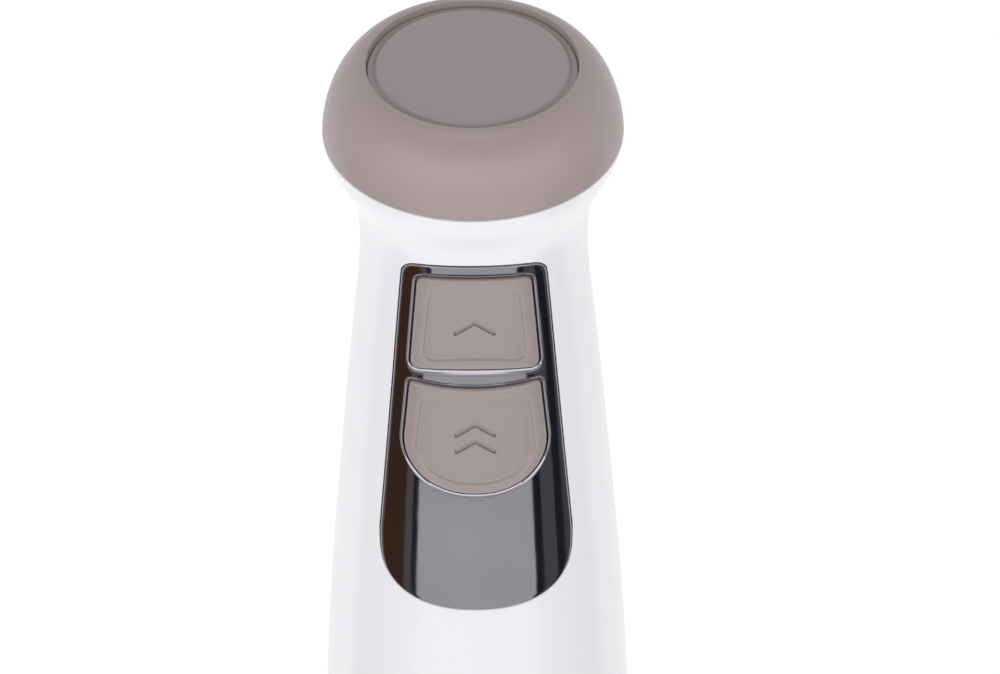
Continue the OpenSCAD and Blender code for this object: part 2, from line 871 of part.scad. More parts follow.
module armature_windings() {
    color(COPPER) union() {
        end_winding(stack_top, true);
        end_winding(stack_z, false);
        for (a = [0:30:330]) rotate([0, 0, a]) translate([armature_r - 3.4, 0, 0])
            rod(1.8, stack_z - 1, stack_top + 1);
    }
}

module commutator() {
    bars = 24;
    color(COPPER) difference() {
        union() {
            ring(11, motor_shaft_r + 0.02, comm_z, comm_z + comm_h);
            ring(12.2, 9, comm_z, comm_z + 2);
        }
        for (i = [0:bars - 1]) rotate([0, 0, 360 * (i + 0.5) / bars])
            block([10.2, 14], [-0.25, 0.25], [comm_z - 1, comm_z + comm_h + 1]);
    }
}

module cooling_fan() {
    blades = 11;
    color([0.2, 0.2, 0.22]) union() {
        ring(6, motor_shaft_r + 0.02, fan_z, fan_z + 7);
        ring(19.4, 5, fan_z, fan_z + 1.4);
        for (i = [0:blades - 1]) rotate([0, 0, 360 * i / blades]) translate([12.4, 0, 0])
            rotate([0, 0, 25]) block([-6.2, 6.2], [-0.6, 0.6], [fan_z + 1, fan_z + 6]);
    }
}

hex_af = 8;

module hexagon(across, z0, z1) {
    translate([0, 0, z0]) cylinder(r = across / 2 / cos(30), h = z1 - z0, $fn = 6);
}

module drive_coupler() {
    color(DARK) difference() {
        union() {
            rod(8.4, foot_h + 13, foot_h + 31);
            for (i = [0:7]) rotate([0, 0, 45 * i]) translate([8.2, 0, 0])
                rod(0.6, foot_h + 14, foot_h + 30);
        }
        hexagon(hex_af + 0.5, foot_h + 12, foot_h + 26);
        translate([0, 0, foot_h + 12.99]) cylinder(r1 = 6.2, r2 = 4.2, h = 2);
        rod(motor_shaft_r + 0.02, foot_h + 25, foot_h + 40);
    }
}

// ---- Blending foot --------------------------------------------------------

COLLAR = [[0, 14.6], [5, 15.4], [11, 18], [17, 22.4], [21, 25], [24.5, 26.2]];
collar_z = foot_h - 24.8;

module foot_collar() {
    n = 14;
    rise = 24.5;
    zs = [for (i = [0:n]) rise * i / n];
    inner = tube_top_r + 0.03;
    outside = concat([for (z = zs) [curve(COLLAR, z), collar_z + z]],
        [[26, foot_h - 0.25], [spigot_r, foot_h - 0.25]]);
    latch_groove = [[spigot_r, groove_z], [17.5, groove_z], [17.5, groove_z + 3.4],
        [spigot_r, groove_z + 3.4]];
    hollow = [[spigot_r, spigot_top - 1], [spigot_r - 1, spigot_top], [16.2, spigot_top],
        [16.2, foot_h - 1.5], [inner, foot_h - 4], [inner, collar_z]];
    color(WHITE) difference() {
        union() {
            difference() {
                union() {
                    rotate_extrude() polygon(concat(outside, latch_groove, hollow));
                    ring(16.5, 6.5, foot_h - 5, foot_h - 1.5);
                    // Keys that stop the foot turning in the motor unit
                    for (a = [90, 270]) rotate([0, 0, a])
                        block([17, spigot_r + 1.2], [-1.6, 1.6], [foot_h - 1, foot_h + 9]);
                }
                rod(inner, 0, foot_h - 5.05);
            }
            ring(7.6, 4, foot_h - 16, foot_h + 11);
        }
        rod(bush_r + clear, 0, 2 * foot_h);
    }
}

module shaft_tube() {
    z0 = bell_h - 8;
    z1 = foot_h - 6;
    w = 0.9;
    color(STEEL) rotate_extrude() polygon([[tube_low_r - w, z0], [tube_low_r, z0], [tube_low_r, bell_h + 12],
        [tube_top_r, collar_z - 8], [tube_top_r, z1], [tube_top_r - w, z1], [tube_top_r - w, collar_z - 8],
        [tube_low_r - w, bell_h + 12]]);
}

// Bell's outside radius against height, over its own height
BELL = [[0, bell_r], [8, bell_r - 0.2], [16, bell_r - 2], [22, bell_r - 5.6], [27, bell_r - 10.8],
    [32, bell_r - 15.6], [38, bell_r - 18.9], [bell_h, bell_r - 20.4]];

module bell_guard() {
    n = 24;
    zs = [for (i = [0:n]) bell_h * i / n];
    color(STEEL) difference() {
        rotate_extrude() polygon(concat([for (z = zs) [curve(BELL, z), z]],
            [for (i = [n:-1:0]) [max(tube_low_r + 0.03, curve(BELL, zs[i]) - bell_wall), zs[i]]]));
        for (a = [0, 90]) rotate([0, 0, a]) {
            block([-far, far], [-notch_w / 2, notch_w / 2], [-1, 3]);
            translate([0, 0, 3]) rotate([0, 90, 0]) cylinder(r = notch_w / 2, h = 2 * far, center = true);
        }
    }
}

module bell_hub() {
    color(DARK) difference() {
        union() {
            rod(7.4, 23, bell_h + 2);
            rotate_extrude() polygon([[0, 26], [9.5, 26], [bell_r - 17.6, 31.5], [bell_r - 20.6, 36],
                [tube_low_r - 1, 40], [0, 40]]);
            rod(tube_low_r - 0.95, 38, bell_h + 2);
        }
        rod(bush_r + clear, 29.5, far + bell_h);
        rod(5.03, 20, 29);
        rod(shaft_r + 0.4, 0, far);
    }
}

module bush(z0, z1) {
    difference() {
        rod(bush_r, z0, z1);
        rod(shaft_r + clear, z0 - 1, z1 + 1);
    }
}

module foot_upper_bushing() {
    color(BRASS) bush(foot_h - 6, foot_h + 10.8);
}

module foot_lower_bushing() {
    color(BRASS) bush(29.55, 46);
}

module shaft_seal() {
    color(RUBBER) rotate_extrude() polygon([[shaft_r + 0.05, 23.4], [3.4, 23.2], [5, 24], [5, 28.9],
        [shaft_r + 0.6, 28.9], [shaft_r + 0.6, 25]]);
}

module drive_shaft() {
    color(STEEL) difference() {
        union() {
            rod(shaft_r, 11.5, foot_h + 12);
            rod(2, 8.3, 12);
            hexagon(hex_af, foot_h + 12, foot_h + 23);
        }
        translate([0, 0, foot_h + 22]) difference() {
            cylinder(r = 8, h = 4);
            translate([0, 0, -0.01]) cylinder(r1 = 4.9, r2 = 1, h = 4.02);
        }
        ring(4, shaft_r - 0.5, foot_h + 11.1, foot_h + 11.9);
    }
}

module shaft_clip() {
    color(STEEL) difference() {
        ring(4.6, shaft_r - 0.47, foot_h + 11.15, foot_h + 11.85);
        block([-0.9, 0.9], [0, 10], [foot_h, foot_h + 20]);
    }
}

module blade_spacer() {
    color(BRASS) ring(4.2, shaft_r + 0.02, 16.6, 21);
}

// Wing outline: straight leading edge, swept trailing edge and a round tip
module wing() {
    hub = 5.5;
    union() {
        polygon([[0, -hub], [hub, -hub + 0.6], [blade_tip_r - 3.5, -2.6], [blade_tip_r - 0.6, -0.4],
            [blade_tip_r - 0.2, 1.8], [blade_tip_r - 2.2, 3.6], [9, 5.2], [0, hub]]);
        circle(hub);
    }
}

module blade() {
    z = 15.6;
    t = 1.2;
    bend_x = 3.4;     // where each wing bends up or down
    color(STEEL) difference() {
        union() {
            rod(5.5, z - t, z);
            for (s = [0, 1]) rotate([0, 0, 180 * s]) intersection() {
                translate([bend_x, 0, z - t]) rotate([0, s == 0 ? 10 : -8, 0])
                    translate([-bend_x, 0, 0]) linear_extrude(t) wing();
                block([bend_x, far], [-far, far], [0, 40]);
            }
        }
        rod(shaft_r + 0.02, 0, 40);
    }
}

module blade_nut() {
    color(STEEL) difference() {
        union() {
            hexagon(7, 10.2, 14.2);
            translate([0, 0, 10.25]) mirror([0, 0, 1]) cylinder(r1 = 3.5, r2 = 2, h = 2.6);
        }
        rod(shaft_r + 0.02, 11.48, 20);
        rod(2.02, 8.28, 20);
    }
}

top_cap();
cap_disc();
cap_screw();
front_shell();
rear_shell();
shell_screws();
button_bezel();
speed_button();
turbo_button();
speed_button_spring();
turbo_button_spring();
speed_plunger();
turbo_plunger();
button_frame();
switch_board();
speed_switch();
turbo_switch();
speed_diode();
board_screws();
chassis();
terminal_block();
suppression_capacitor();
cord_gland();
base_collar();
base_screws();
socket_cup();
socket_seal();
latch_ring();
left_release_button();
right_release_button();
upper_bracket();
lower_bracket();
upper_bearing();
lower_bearing();
stator_core();
field_coils();
brush_holders();
carbon_brushes();
brush_springs();
motor_screws();
motor_mount_ring();
motor_shaft();
armature_core();
armature_windings();
commutator();
cooling_fan();
drive_coupler();
foot_collar();
shaft_tube();
bell_guard();
bell_hub();
foot_upper_bushing();
foot_lower_bushing();
shaft_seal();
drive_shaft();
shaft_clip();
blade_spacer();
blade();
blade_nut();
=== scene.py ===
import json
import math

import bmesh
import bpy
import numpy as np
from mathutils import Matrix, Vector


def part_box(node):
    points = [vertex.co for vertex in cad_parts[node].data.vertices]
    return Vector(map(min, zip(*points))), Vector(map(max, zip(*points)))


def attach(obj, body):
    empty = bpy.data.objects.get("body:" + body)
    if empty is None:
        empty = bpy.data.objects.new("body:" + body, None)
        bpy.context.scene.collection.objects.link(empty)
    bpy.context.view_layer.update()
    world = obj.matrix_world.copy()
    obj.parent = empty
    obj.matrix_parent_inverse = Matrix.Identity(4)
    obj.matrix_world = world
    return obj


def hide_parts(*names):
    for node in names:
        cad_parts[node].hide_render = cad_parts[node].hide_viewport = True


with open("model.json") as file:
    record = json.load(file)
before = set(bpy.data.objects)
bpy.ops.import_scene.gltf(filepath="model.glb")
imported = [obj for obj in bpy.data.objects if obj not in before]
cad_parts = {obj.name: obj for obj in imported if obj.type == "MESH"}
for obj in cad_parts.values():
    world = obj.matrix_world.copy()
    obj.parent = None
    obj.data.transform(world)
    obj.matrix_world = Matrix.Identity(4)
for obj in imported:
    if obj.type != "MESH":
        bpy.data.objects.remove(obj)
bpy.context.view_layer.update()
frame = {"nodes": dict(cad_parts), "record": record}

# Shapes are drawn in millimetres and brought to metres when a piece is finished.
MM = 0.001

# ---- Levels and sizes ------------------------------------------------------
# Levels come from the frame. The sizes are the CAD's own, in millimetres.

CAP_RISE = 16.6       # from the head's widest level to the cap's lip
BAND_H = 6.0          # height of the coloured band round the base
WALL = 2.4            # housing wall
BEZEL_T = 1.35        # depth of the bezel under the grip's skin
PROUD = 0.9           # how far the buttons stand out
GAP = 0.35            # gap round a button
SEAT_GAP = 0.12       # gap between the bezel and its seat
SKIRT_RISE = -WALL - 0.3  # outer face of the skirts that keep the buttons in, under the grip's skin


def mm(value):
    return value / MM


def top_of(node):
    return mm(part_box(node)[1].z)


def foot_of(node):
    return mm(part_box(node)[0].z)


HEAD_Z = top_of("top_cap") - CAP_RISE
INLET_Z = HEAD_Z - 20
SEAM_Z = foot_of("base_collar")
SHELL_LOW = foot_of("front_shell")
SHELL_TOP = top_of("front_shell")
RELEASE_Z = (top_of("left_release_button") + foot_of("left_release_button")) / 2

# Grip radius against height over the head's widest level
GRIP = [(-203.4, 26.6), (-192, 29.9), (-180, 31.9), (-165, 32.8), (-150, 32.5), (-120, 30.8), (-90, 28.35),
        (-60, 25.6), (-45, 24.1), (-30, 22.65), (-22, 22.45), (-15, 23), (-10, 24.55), (-6, 26.6),
        (-2, 28.5), (1.1, 29.05)]


def eased(points, fine=0.25, blur=1.6):
    """Table of heights and radii: a cubic through the points, softened so that its bends run on smoothly."""
    x, y = np.array(points, float).T
    slope = np.gradient(y, x)
    slope[1:-1] = (y[2:] - y[:-2]) / (x[2:] - x[:-2])
    at = np.arange(x[0], x[-1] + fine / 2, fine)
    i = np.clip(np.searchsorted(x, at, side="right") - 1, 0, len(x) - 2)
    w = x[i + 1] - x[i]
    t = (at - x[i]) / w
    y_at = ((2 * t**3 - 3 * t**2 + 1) * y[i] + (t**3 - 2 * t**2 + t) * w * slope[i]
            + (3 * t**2 - 2 * t**3) * y[i + 1] + (t**3 - t**2) * w * slope[i + 1])
    reach = int(4 * blur / fine)
    k = np.exp(-0.5 * (np.arange(-reach, reach + 1) * fine / blur) ** 2)
    run = np.arange(1, reach + 1)
    low = y_at[0] - slope[0] * fine * run[::-1]
    high = y_at[-1] + slope[-1] * fine * run
    return at, np.convolve(np.concatenate([low, y_at, high]), k / k.sum(), "valid")


GRIP_AT, GRIP_R = eased(GRIP)


def grip_r(z):
    """Radius of the grip's skin at height z."""
    return np.interp(z - HEAD_Z, GRIP_AT, GRIP_R)


# ---- Mesh tools ------------------------------------------------------------

def finished(bm, name, material, sharp=32):
    """Makes a piece of a mesh drawn in millimetres."""
    bmesh.ops.remove_doubles(bm, verts=bm.verts, dist=1e-4)
    bmesh.ops.recalc_face_normals(bm, faces=bm.faces)
    bmesh.ops.scale(bm, vec=(MM, MM, MM), verts=bm.verts)
    mesh = bpy.data.meshes.new(name)
    bm.to_mesh(mesh)
    bm.free()
    piece = bpy.data.objects.new(name, mesh)
    bpy.context.scene.collection.objects.link(piece)
    smooth(piece, sharp)
    if material:
        mesh.materials.append(material)
    return piece


def smooth(piece, sharp=32):
    piece.data.shade_smooth()
    piece.data.set_sharp_from_angle(angle=math.radians(sharp))


def line(bm, points, closed=True):
    verts = [bm.verts.new(p) for p in points]
    pairs = list(zip(verts, verts[1:]))
    if closed:
        pairs.append((verts[-1], verts[0]))
    return verts, [bm.edges.new(pair) for pair in pairs]


def spun(section, steps=192, turn=360, start=0):
    """Turns a section of (radius, height) points about Z. It stays open if both its ends are on the axis."""
    bm = bmesh.new()
    on_axis = abs(section[0][0]) < 1e-6 and abs(section[-1][0]) < 1e-6
    a = math.radians(start)
    verts, edges = line(bm, [(r * math.cos(a), r * math.sin(a), z) for r, z in section], closed=not on_axis)
    bmesh.ops.spin(bm, geom=verts + edges, cent=(0, 0, 0), axis=(0, 0, 1), angle=math.radians(turn),
                   steps=steps, use_merge=turn == 360, use_duplicate=False)
    bmesh.ops.remove_doubles(bm, verts=bm.verts, dist=1e-4)
    return bm


def rounded(points, radii, steps=6):
    """Section or outline whose corners are arcs; radii gives one radius a corner, 0 for a sharp one."""
    out = []
    n = len(points)
    for i, (p, r) in enumerate(zip(points, radii)):
        if not r:
            out.append(tuple(p))
            continue
        p = np.array(p, float)
        a = np.array(points[i - 1], float) - p
        b = np.array(points[(i + 1) % n], float) - p
        la, lb = np.linalg.norm(a), np.linalg.norm(b)
        a, b = a / la, b / lb
        half = math.acos(max(-1.0, min(1.0, float(a @ b)))) / 2
        reach = min(r / math.tan(half), 0.49 * la, 0.49 * lb)
        r = reach * math.tan(half)
        centre = p + (a + b) / np.linalg.norm(a + b) * (r / math.sin(half))
        start, end = p + a * reach - centre, p + b * reach - centre
        turn = math.pi - 2 * half
        for k in range(steps + 1):
            t = k / steps
            q = (math.sin((1 - t) * turn) * start + math.sin(t * turn) * end) / math.sin(turn)
            out.append(tuple(centre + q))
    return out


def loft(rings, ends=("point", "point"), loop=False):
    """Skins a row of rings that have the same number of points."""
    bm = bmesh.new()
    ring, edges = line(bm, rings[0])
    first = ring
    for points in rings[1:]:
        added = bmesh.ops.extrude_edge_only(bm, edges=edges)["geom"]
        new = {g for g in added if isinstance(g, bmesh.types.BMVert)}
        above = {}
        for v in new:
            for e in v.link_edges:
                if e.other_vert(v) not in new:
                    above[e.other_vert(v)] = v
        ring = [above[v] for v in ring]
        for v, p in zip(ring, points):
            v.co = p
        edges = list({e for v in ring for e in v.link_edges if e.other_vert(v) in new})
    if loop:
        both = {e for r in (first, ring) for v in r for e in v.link_edges if e.is_boundary}
        bmesh.ops.bridge_loops(bm, edges=list(both))
        return bm
    for end, verts in zip(ends, (first, ring)):
        if end == "point":
            middle = sum((v.co for v in verts), Vector()) / len(verts)
            bmesh.ops.pointmerge(bm, verts=verts, merge_co=middle)
        else:
            rim = {e for v in verts for e in v.link_edges if e.is_boundary}
            bmesh.ops.contextual_create(bm, geom=list(rim))
    return bm


def turned(bm, degrees, axis="Z"):
    turn = Matrix.Rotation(math.radians(degrees), 3, axis)
    bmesh.ops.rotate(bm, cent=(0, 0, 0), matrix=turn, verts=bm.verts)
    return bm


def moved(bm, x, y, z):
    bmesh.ops.translate(bm, vec=(x, y, z), verts=bm.verts)
    return bm


def rod(radius, length, segments=48):
    """Upright round bar with its middle at the origin."""
    bm = bmesh.new()
    bmesh.ops.create_cone(bm, cap_ends=True, segments=segments, radius1=radius, radius2=radius, depth=length)
    return bm


def block(size, middle, soft=0):
    """Block with edges bevelled by `soft`."""
    bm = bmesh.new()
    bmesh.ops.create_cube(bm, size=1)
    bmesh.ops.scale(bm, vec=size, verts=bm.verts)
    moved(bm, *middle)
    if soft:
        bmesh.ops.bevel(bm, geom=bm.edges, offset=soft, segments=2, profile=0.5, affect="EDGES", material=-1)
    return bm


def combined(piece, others, operation="DIFFERENCE", sharp=32):
    """Cuts the others away from the piece, or joins them to it, and removes them."""
    for other in others:
        mod = piece.modifiers.new("shape", "BOOLEAN")
        mod.object = other
        mod.operation = operation
        mod.solver = "EXACT"
    view = bpy.context.evaluated_depsgraph_get()
    mesh = bpy.data.meshes.new_from_object(piece.evaluated_get(view))
    old = piece.data
    piece.modifiers.clear()
    piece.data = mesh
    bpy.data.meshes.remove(old)
    for other in others:
        bpy.data.objects.remove(other)
    bm = bmesh.new()
    bm.from_mesh(mesh)
    bmesh.ops.remove_doubles(bm, verts=bm.verts, dist=2e-7)
    bmesh.ops.dissolve_degenerate(bm, edges=bm.edges, dist=2e-7)
    bm.to_mesh(mesh)
    bm.free()
    smooth(piece, sharp)
    return piece


def place(piece, body, slot, *nodes):
    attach(piece, body)
    if nodes:
        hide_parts(*nodes)
    return piece


# ---- Outlines on the front of the grip -------------------------------------
# Each is a closed row of (x, height under the head) points.

RAYS = 360


def belly(half, depth, z, power, n=40):
    """Lower half of a superellipse, from left to right."""
    out = []
    for i in range(n + 1):
        c, s = math.cos(math.pi * i / n), math.sin(math.pi * i / n)
        out.append((-math.copysign(half * abs(c) ** (2 / power), c), z - depth * abs(s) ** (2 / power)))
    return out


def with_corners(points, corners, radius):
    return rounded(points, [radius if i in corners else 0 for i in range(len(points))])


def split_up(points, step=0.6):
    """Adds points along the straight stretches of an outline."""
    out = []
    for a, b in zip(points, points[1:] + points[:1]):
        n = max(1, int(math.dist(a, b) / step))
        out += [(a[0] + (b[0] - a[0]) * k / n, a[1] + (b[1] - a[1]) * k / n) for k in range(n)]
    return out


def bent(points, top, low, half, rise_top, rise_low=0.0):
    """Bows the upper and lower edges of an outline up in the middle."""
    out = []
    for x, z in split_up(points):
        share = min(1, max(0, (z - low) / (top - low)))
        out.append((x, z + (rise_low + (rise_top - rise_low) * share) * (1 - (x / half) ** 2)))
    return out


def bezel_outline():
    half, top, waist = 13.8, -17.6, -85
    points = [(half, top), (-half, top)] + belly(19.4, 14.5, waist, 3.6)
    return bent(with_corners(points, (0, 1), 2.6), top, waist, half, 2.9)


def speed_outline(inset=0.0, radius=1.7):
    half, top, low = 10.95 - inset, -19.4 - inset, -41.3 + inset
    wide = 12.75 - inset * 1.05
    points = [(half, top), (-half, top), (-wide, low), (wide, low)]
    return bent(with_corners(points, range(4), radius), top, low, half, 1.6, 1.6)


def turbo_outline(inset=0.0, radius=1.4):
    half, top, waist = 12.8 - inset, -44.9 - inset, -59
    points = [(half, top), (-half, top)] + belly(14.15 - inset, 10.7 - inset, waist, 2.35)
    return bent(with_corners(points, (0, 1), radius), top, waist, half, 0.5)


def grown(outline, by):
    """The outline moved outwards by a distance along its own normals."""
    p = np.array(outline)
    p = p[np.linalg.norm(p - np.roll(p, 1, 0), axis=1) > 1e-6]
    along = np.roll(p, -1, 0) - np.roll(p, 1, 0)
    along /= np.linalg.norm(along, axis=1)[:, None]
    out = np.stack([along[:, 1], -along[:, 0]], 1)
    area = np.sum(p[:, 0] * np.roll(p[:, 1], -1) - np.roll(p[:, 0], -1) * p[:, 1])
    return p + out * by * math.copysign(1, area)


def on_rays(outline, centre):
    """Where rays from the centre cross the outline: RAYS points, so that outlines with one centre match."""
    p = np.array(outline) - centre
    q = np.roll(p, -1, 0)
    a = np.linspace(0, 2 * math.pi, RAYS, endpoint=False)
    d = np.stack([np.cos(a), np.sin(a)], 1)[:, None, :]
    e = (q - p)[None]
    cross = d[..., 0] * e[..., 1] - d[..., 1] * e[..., 0]
    cross[np.abs(cross) < 1e-12] = 1e-12
    t = (p[None, :, 0] * e[..., 1] - p[None, :, 1] * e[..., 0]) / cross
    u = (p[None, :, 0] * d[..., 1] - p[None, :, 1] * d[..., 0]) / cross
    t[(u < -1e-9) | (u > 1 + 1e-9) | (t < 0)] = 0
    return centre + d[:, 0] * t.max(1)[:, None]


def on_front(flat, rise):
    """Lays flat points on the front of the grip, `rise` above its skin."""
    z = flat[:, 1] + HEAD_Z
    r = grip_r(z) + rise
    y = -np.sqrt(np.maximum(r * r - flat[:, 0] ** 2, 0.01))
    return np.stack([flat[:, 0], y, z], 1)


def inwards(ring, centre, rise, steps):
    """Rings that close in on the centre across a face."""
    return [on_front(centre + (ring - centre) * (1 - k / steps), rise) for k in range(1, steps)]


BEZEL_MID = np.array([0.0, -58.0])
SPEED_MID = np.array([0.0, -30.4])
TURBO_MID = np.array([0.0, -57.0])


def opening_cutter(outline, centre, by, low=-4.0, high=3.0):
    ring = on_rays(grown(outline, by), centre)
    rings = [on_front(ring, low), on_front(ring, high)]
    back = inwards(ring, centre, low, 6)[::-1]
    front = inwards(ring, centre, high, 6)
    return loft(back + rings + front)


# ---- Materials -------------------------------------------------------------

class Paint:
    """Node builder for one material. Patterns are read in Object coordinates, in metres."""

    def __init__(self, name, colour, roughness, metallic=0.0, **sockets):
        self.material = bpy.data.materials.new(name)
        self.material.use_nodes = True
        self.tree = self.material.node_tree
        self.shader = self.tree.nodes["Principled BSDF"]
        self.shader.inputs["Base Color"].default_value = (*colour, 1)
        self.shader.inputs["Roughness"].default_value = roughness
        self.shader.inputs["Metallic"].default_value = metallic
        for key, value in sockets.items():
            self.shader.inputs[key.replace("_", " ")].default_value = value
        self.colour = colour
        self.where = self.node("ShaderNodeTexCoord").outputs["Object"]
        self.height = None

    def node(self, kind, **settings):
        made = self.tree.nodes.new(kind)
        for key, value in settings.items():
            if key in made.inputs.keys():
                made.inputs[key].default_value = value
            else:
                setattr(made, key, value)
        return made

    def join(self, a, b):
        self.tree.links.new(a, b)

    def stretched(self, scale, turn=(0, 0, 0)):
        """Object coordinates scaled apart along the three axes."""
        mapping = self.node("ShaderNodeMapping")
        mapping.inputs["Scale"].default_value = scale
        mapping.inputs["Rotation"].default_value = turn
        self.join(self.where, mapping.inputs["Vector"])
        return mapping.outputs["Vector"]

    def noise(self, scale, detail=3.0, where=None, roughness=0.55):
        made = self.node("ShaderNodeTexNoise", Scale=scale, Detail=detail, Roughness=roughness)
        self.join(where or self.where, made.inputs["Vector"])
        return made.outputs["Fac"]

    def cells(self, scale):
        made = self.node("ShaderNodeTexVoronoi", Scale=scale)
        self.join(self.where, made.inputs["Vector"])
        return made.outputs["Distance"]

    def waves(self, scale, direction="Z", distortion=0.0):
        made = self.node("ShaderNodeTexWave", bands_direction=direction, Scale=scale, Distortion=distortion)
        self.join(self.where, made.inputs["Vector"])
        return made.outputs["Fac"]

    def ranged(self, value, low, high, to_low, to_high):
        made = self.node("ShaderNodeMapRange")
        for key, number in zip(("From Min", "From Max", "To Min", "To Max"), (low, high, to_low, to_high)):
            made.inputs[key].default_value = number
        self.join(value, made.inputs["Value"])
        return made.outputs["Result"]

    def sum(self, a, b):
        made = self.node("ShaderNodeMath", operation="ADD")
        self.join(a, made.inputs[0])
        self.join(b, made.inputs[1])
        return made.outputs[0]

    def tint(self, value, other, low=0.4, high=0.7):
        """Moves the colour towards another one where the pattern is high."""
        mix = self.node("ShaderNodeMix", data_type="RGBA")
        self.join(self.ranged(value, low, high, 0, 1), mix.inputs["Factor"])
        mix.inputs["A"].default_value = (*self.colour, 1)
        mix.inputs["B"].default_value = (*other, 1)
        result = [s for s in mix.outputs if s.type == "RGBA"][0]
        self.join(result, self.shader.inputs["Base Color"])

    def gloss(self, value, low, high, to_low, to_high):
        self.join(self.ranged(value, low, high, to_low, to_high), self.shader.inputs["Roughness"])

    def bump(self, value, depth, strength=1.0):
        """Adds relief of the given depth in metres."""
        made = self.node("ShaderNodeBump", Strength=strength, Distance=depth)
        self.join(value, made.inputs["Height"])
        if self.height:
            self.join(self.height, made.inputs["Normal"])
        self.height = made.outputs["Normal"]
        self.join(self.height, self.shader.inputs["Normal"])


def moulded_gloss(name, colour, dusk, roughness=0.1, scratches=0.35, specular=0.5):
    """Smooth moulded plastic: faint flow marks, fine hairlines and a slight orange peel."""
    p = Paint(name, colour, roughness, Specular_IOR_Level=specular, IOR=1.5)
    flow = p.noise(38, 4)
    p.tint(flow, dusk, 0.35, 0.8)
    smear = p.noise(160, 5, p.stretched((1, 1, 0.25)))
    hair = p.noise(900, 2, p.stretched((1, 1, 0.04), (0.5, 0.2, 0)))
    wear = p.sum(p.ranged(smear, 0.35, 0.75, 0, 1), p.ranged(hair, 0.62, 0.75, 0, scratches))
    p.gloss(wear, 0, 1.3, roughness * 0.95, roughness * 1.2)
    p.bump(p.noise(420, 2), 0.000012, 0.35)
    p.bump(hair, 0.000001, 0.15)
    return p.material


def moulded_satin(name, colour, dusk, roughness=0.34, grain=1800, depth=0.000004):
    """Satin moulded plastic with a fine spark-eroded grain."""
    p = Paint(name, colour, roughness, IOR=1.48)
    p.tint(p.noise(60, 4), dusk, 0.35, 0.75)
    p.gloss(p.noise(300, 5), 0.3, 0.75, roughness * 0.9, roughness * 1.15)
    p.bump(p.noise(grain, 1), depth, 0.2)
    p.bump(p.noise(90, 1), 0.00003, 0.12)
    return p.material


def plated_chrome(name, colour):
    """Dark plated plastic: nearly a mirror, a little wavy from the moulding, with faint wiping marks."""
    p = Paint(name, colour, 0.08, metallic=1.0)
    p.tint(p.noise(50, 3), tuple(c * 0.93 for c in colour), 0.4, 0.7)
    wipe = p.noise(240, 5, p.stretched((1, 1, 0.12)))
    p.gloss(wipe, 0.3, 0.75, 0.05, 0.13)
    p.bump(p.noise(115, 1), 0.00009, 0.5)
    p.bump(p.noise(500, 2), 0.000006, 0.3)
    return p.material


def turned_steel(name, colour, roughness=0.24, pitch=2600, depth=0.000012):
    """Steel brushed round its axis: fine rings with some polishing wear."""
    p = Paint(name, colour, roughness, metallic=1.0)
    rings = p.noise(pitch, 3, p.stretched((0.02, 0.02, 1)))
    broad = p.noise(90, 4, p.stretched((1, 1, 2.5)))
    p.tint(broad, tuple(c * 0.9 for c in colour), 0.4, 0.75)
    p.gloss(p.sum(rings, broad), 0.7, 1.3, roughness * 0.75, roughness * 1.3)
    p.bump(rings, depth, 0.5)
    return p.material


def ground_steel(name, colour, roughness=0.2, along=(1, 0.03, 1)):
    """Steel ground in one direction, with hairlines."""
    p = Paint(name, colour, roughness, metallic=1.0)
    hair = p.noise(1800, 3, p.stretched(along))
    p.tint(p.noise(120, 3), tuple(c * 0.88 for c in colour), 0.4, 0.7)
    p.gloss(hair, 0.3, 0.7, roughness * 0.7, roughness * 1.4)
    p.bump(hair, 0.00001, 0.5)
    return p.material


def cast_metal(name, colour, roughness=0.4, scale=900):
    """Plain metal with a mottled, slightly pitted skin."""
    p = Paint(name, colour, roughness, metallic=1.0)
    p.tint(p.noise(200, 4), tuple(c * 0.75 for c in colour), 0.4, 0.75)
    p.gloss(p.noise(500, 4), 0.3, 0.7, roughness * 0.8, roughness * 1.25)
    p.bump(p.cells(scale), 0.00002, 0.4)
    return p.material


WAVE_BANDS = 3.2      # bands a metre in a wave pattern of scale 1


def stacked_sheets(name, colour, pitch=0.0005):
    """Lacquered laminations: a fine line at every sheet."""
    p = Paint(name, colour, 0.42, metallic=0.85)
    sheets = p.waves(1 / pitch / WAVE_BANDS, "Z")
    p.tint(p.noise(240, 3), tuple(c * 0.7 for c in colour), 0.35, 0.7)
    p.gloss(sheets, 0, 1, 0.55, 0.35)
    p.bump(sheets, 0.00006, 0.8)
    return p.material


def wound_wire(name, colour, pitch=0.0006):
    """Enamelled wire laid side by side."""
    p = Paint(name, colour, 0.25, metallic=0.9, Coat_Weight=0.6, Coat_Roughness=0.1)
    wires = p.waves(1 / pitch / WAVE_BANDS, "DIAGONAL", 2.5)
    p.tint(wires, tuple(c * 0.45 for c in colour), 0.0, 0.7)
    p.gloss(p.noise(700, 3), 0.3, 0.7, 0.2, 0.4)
    p.bump(wires, 0.0002, 1.0)
    return p.material


def soft_rubber(name, colour):
    """Moulded rubber with bloom and fine pores."""
    p = Paint(name, colour, 0.6, Specular_IOR_Level=0.35)
    p.tint(p.noise(90, 5), tuple(c * 1.8 + 0.01 for c in colour), 0.45, 0.8)
    p.gloss(p.noise(400, 4), 0.3, 0.7, 0.5, 0.75)
    p.bump(p.cells(2200), 0.00003, 0.5)
    return p.material


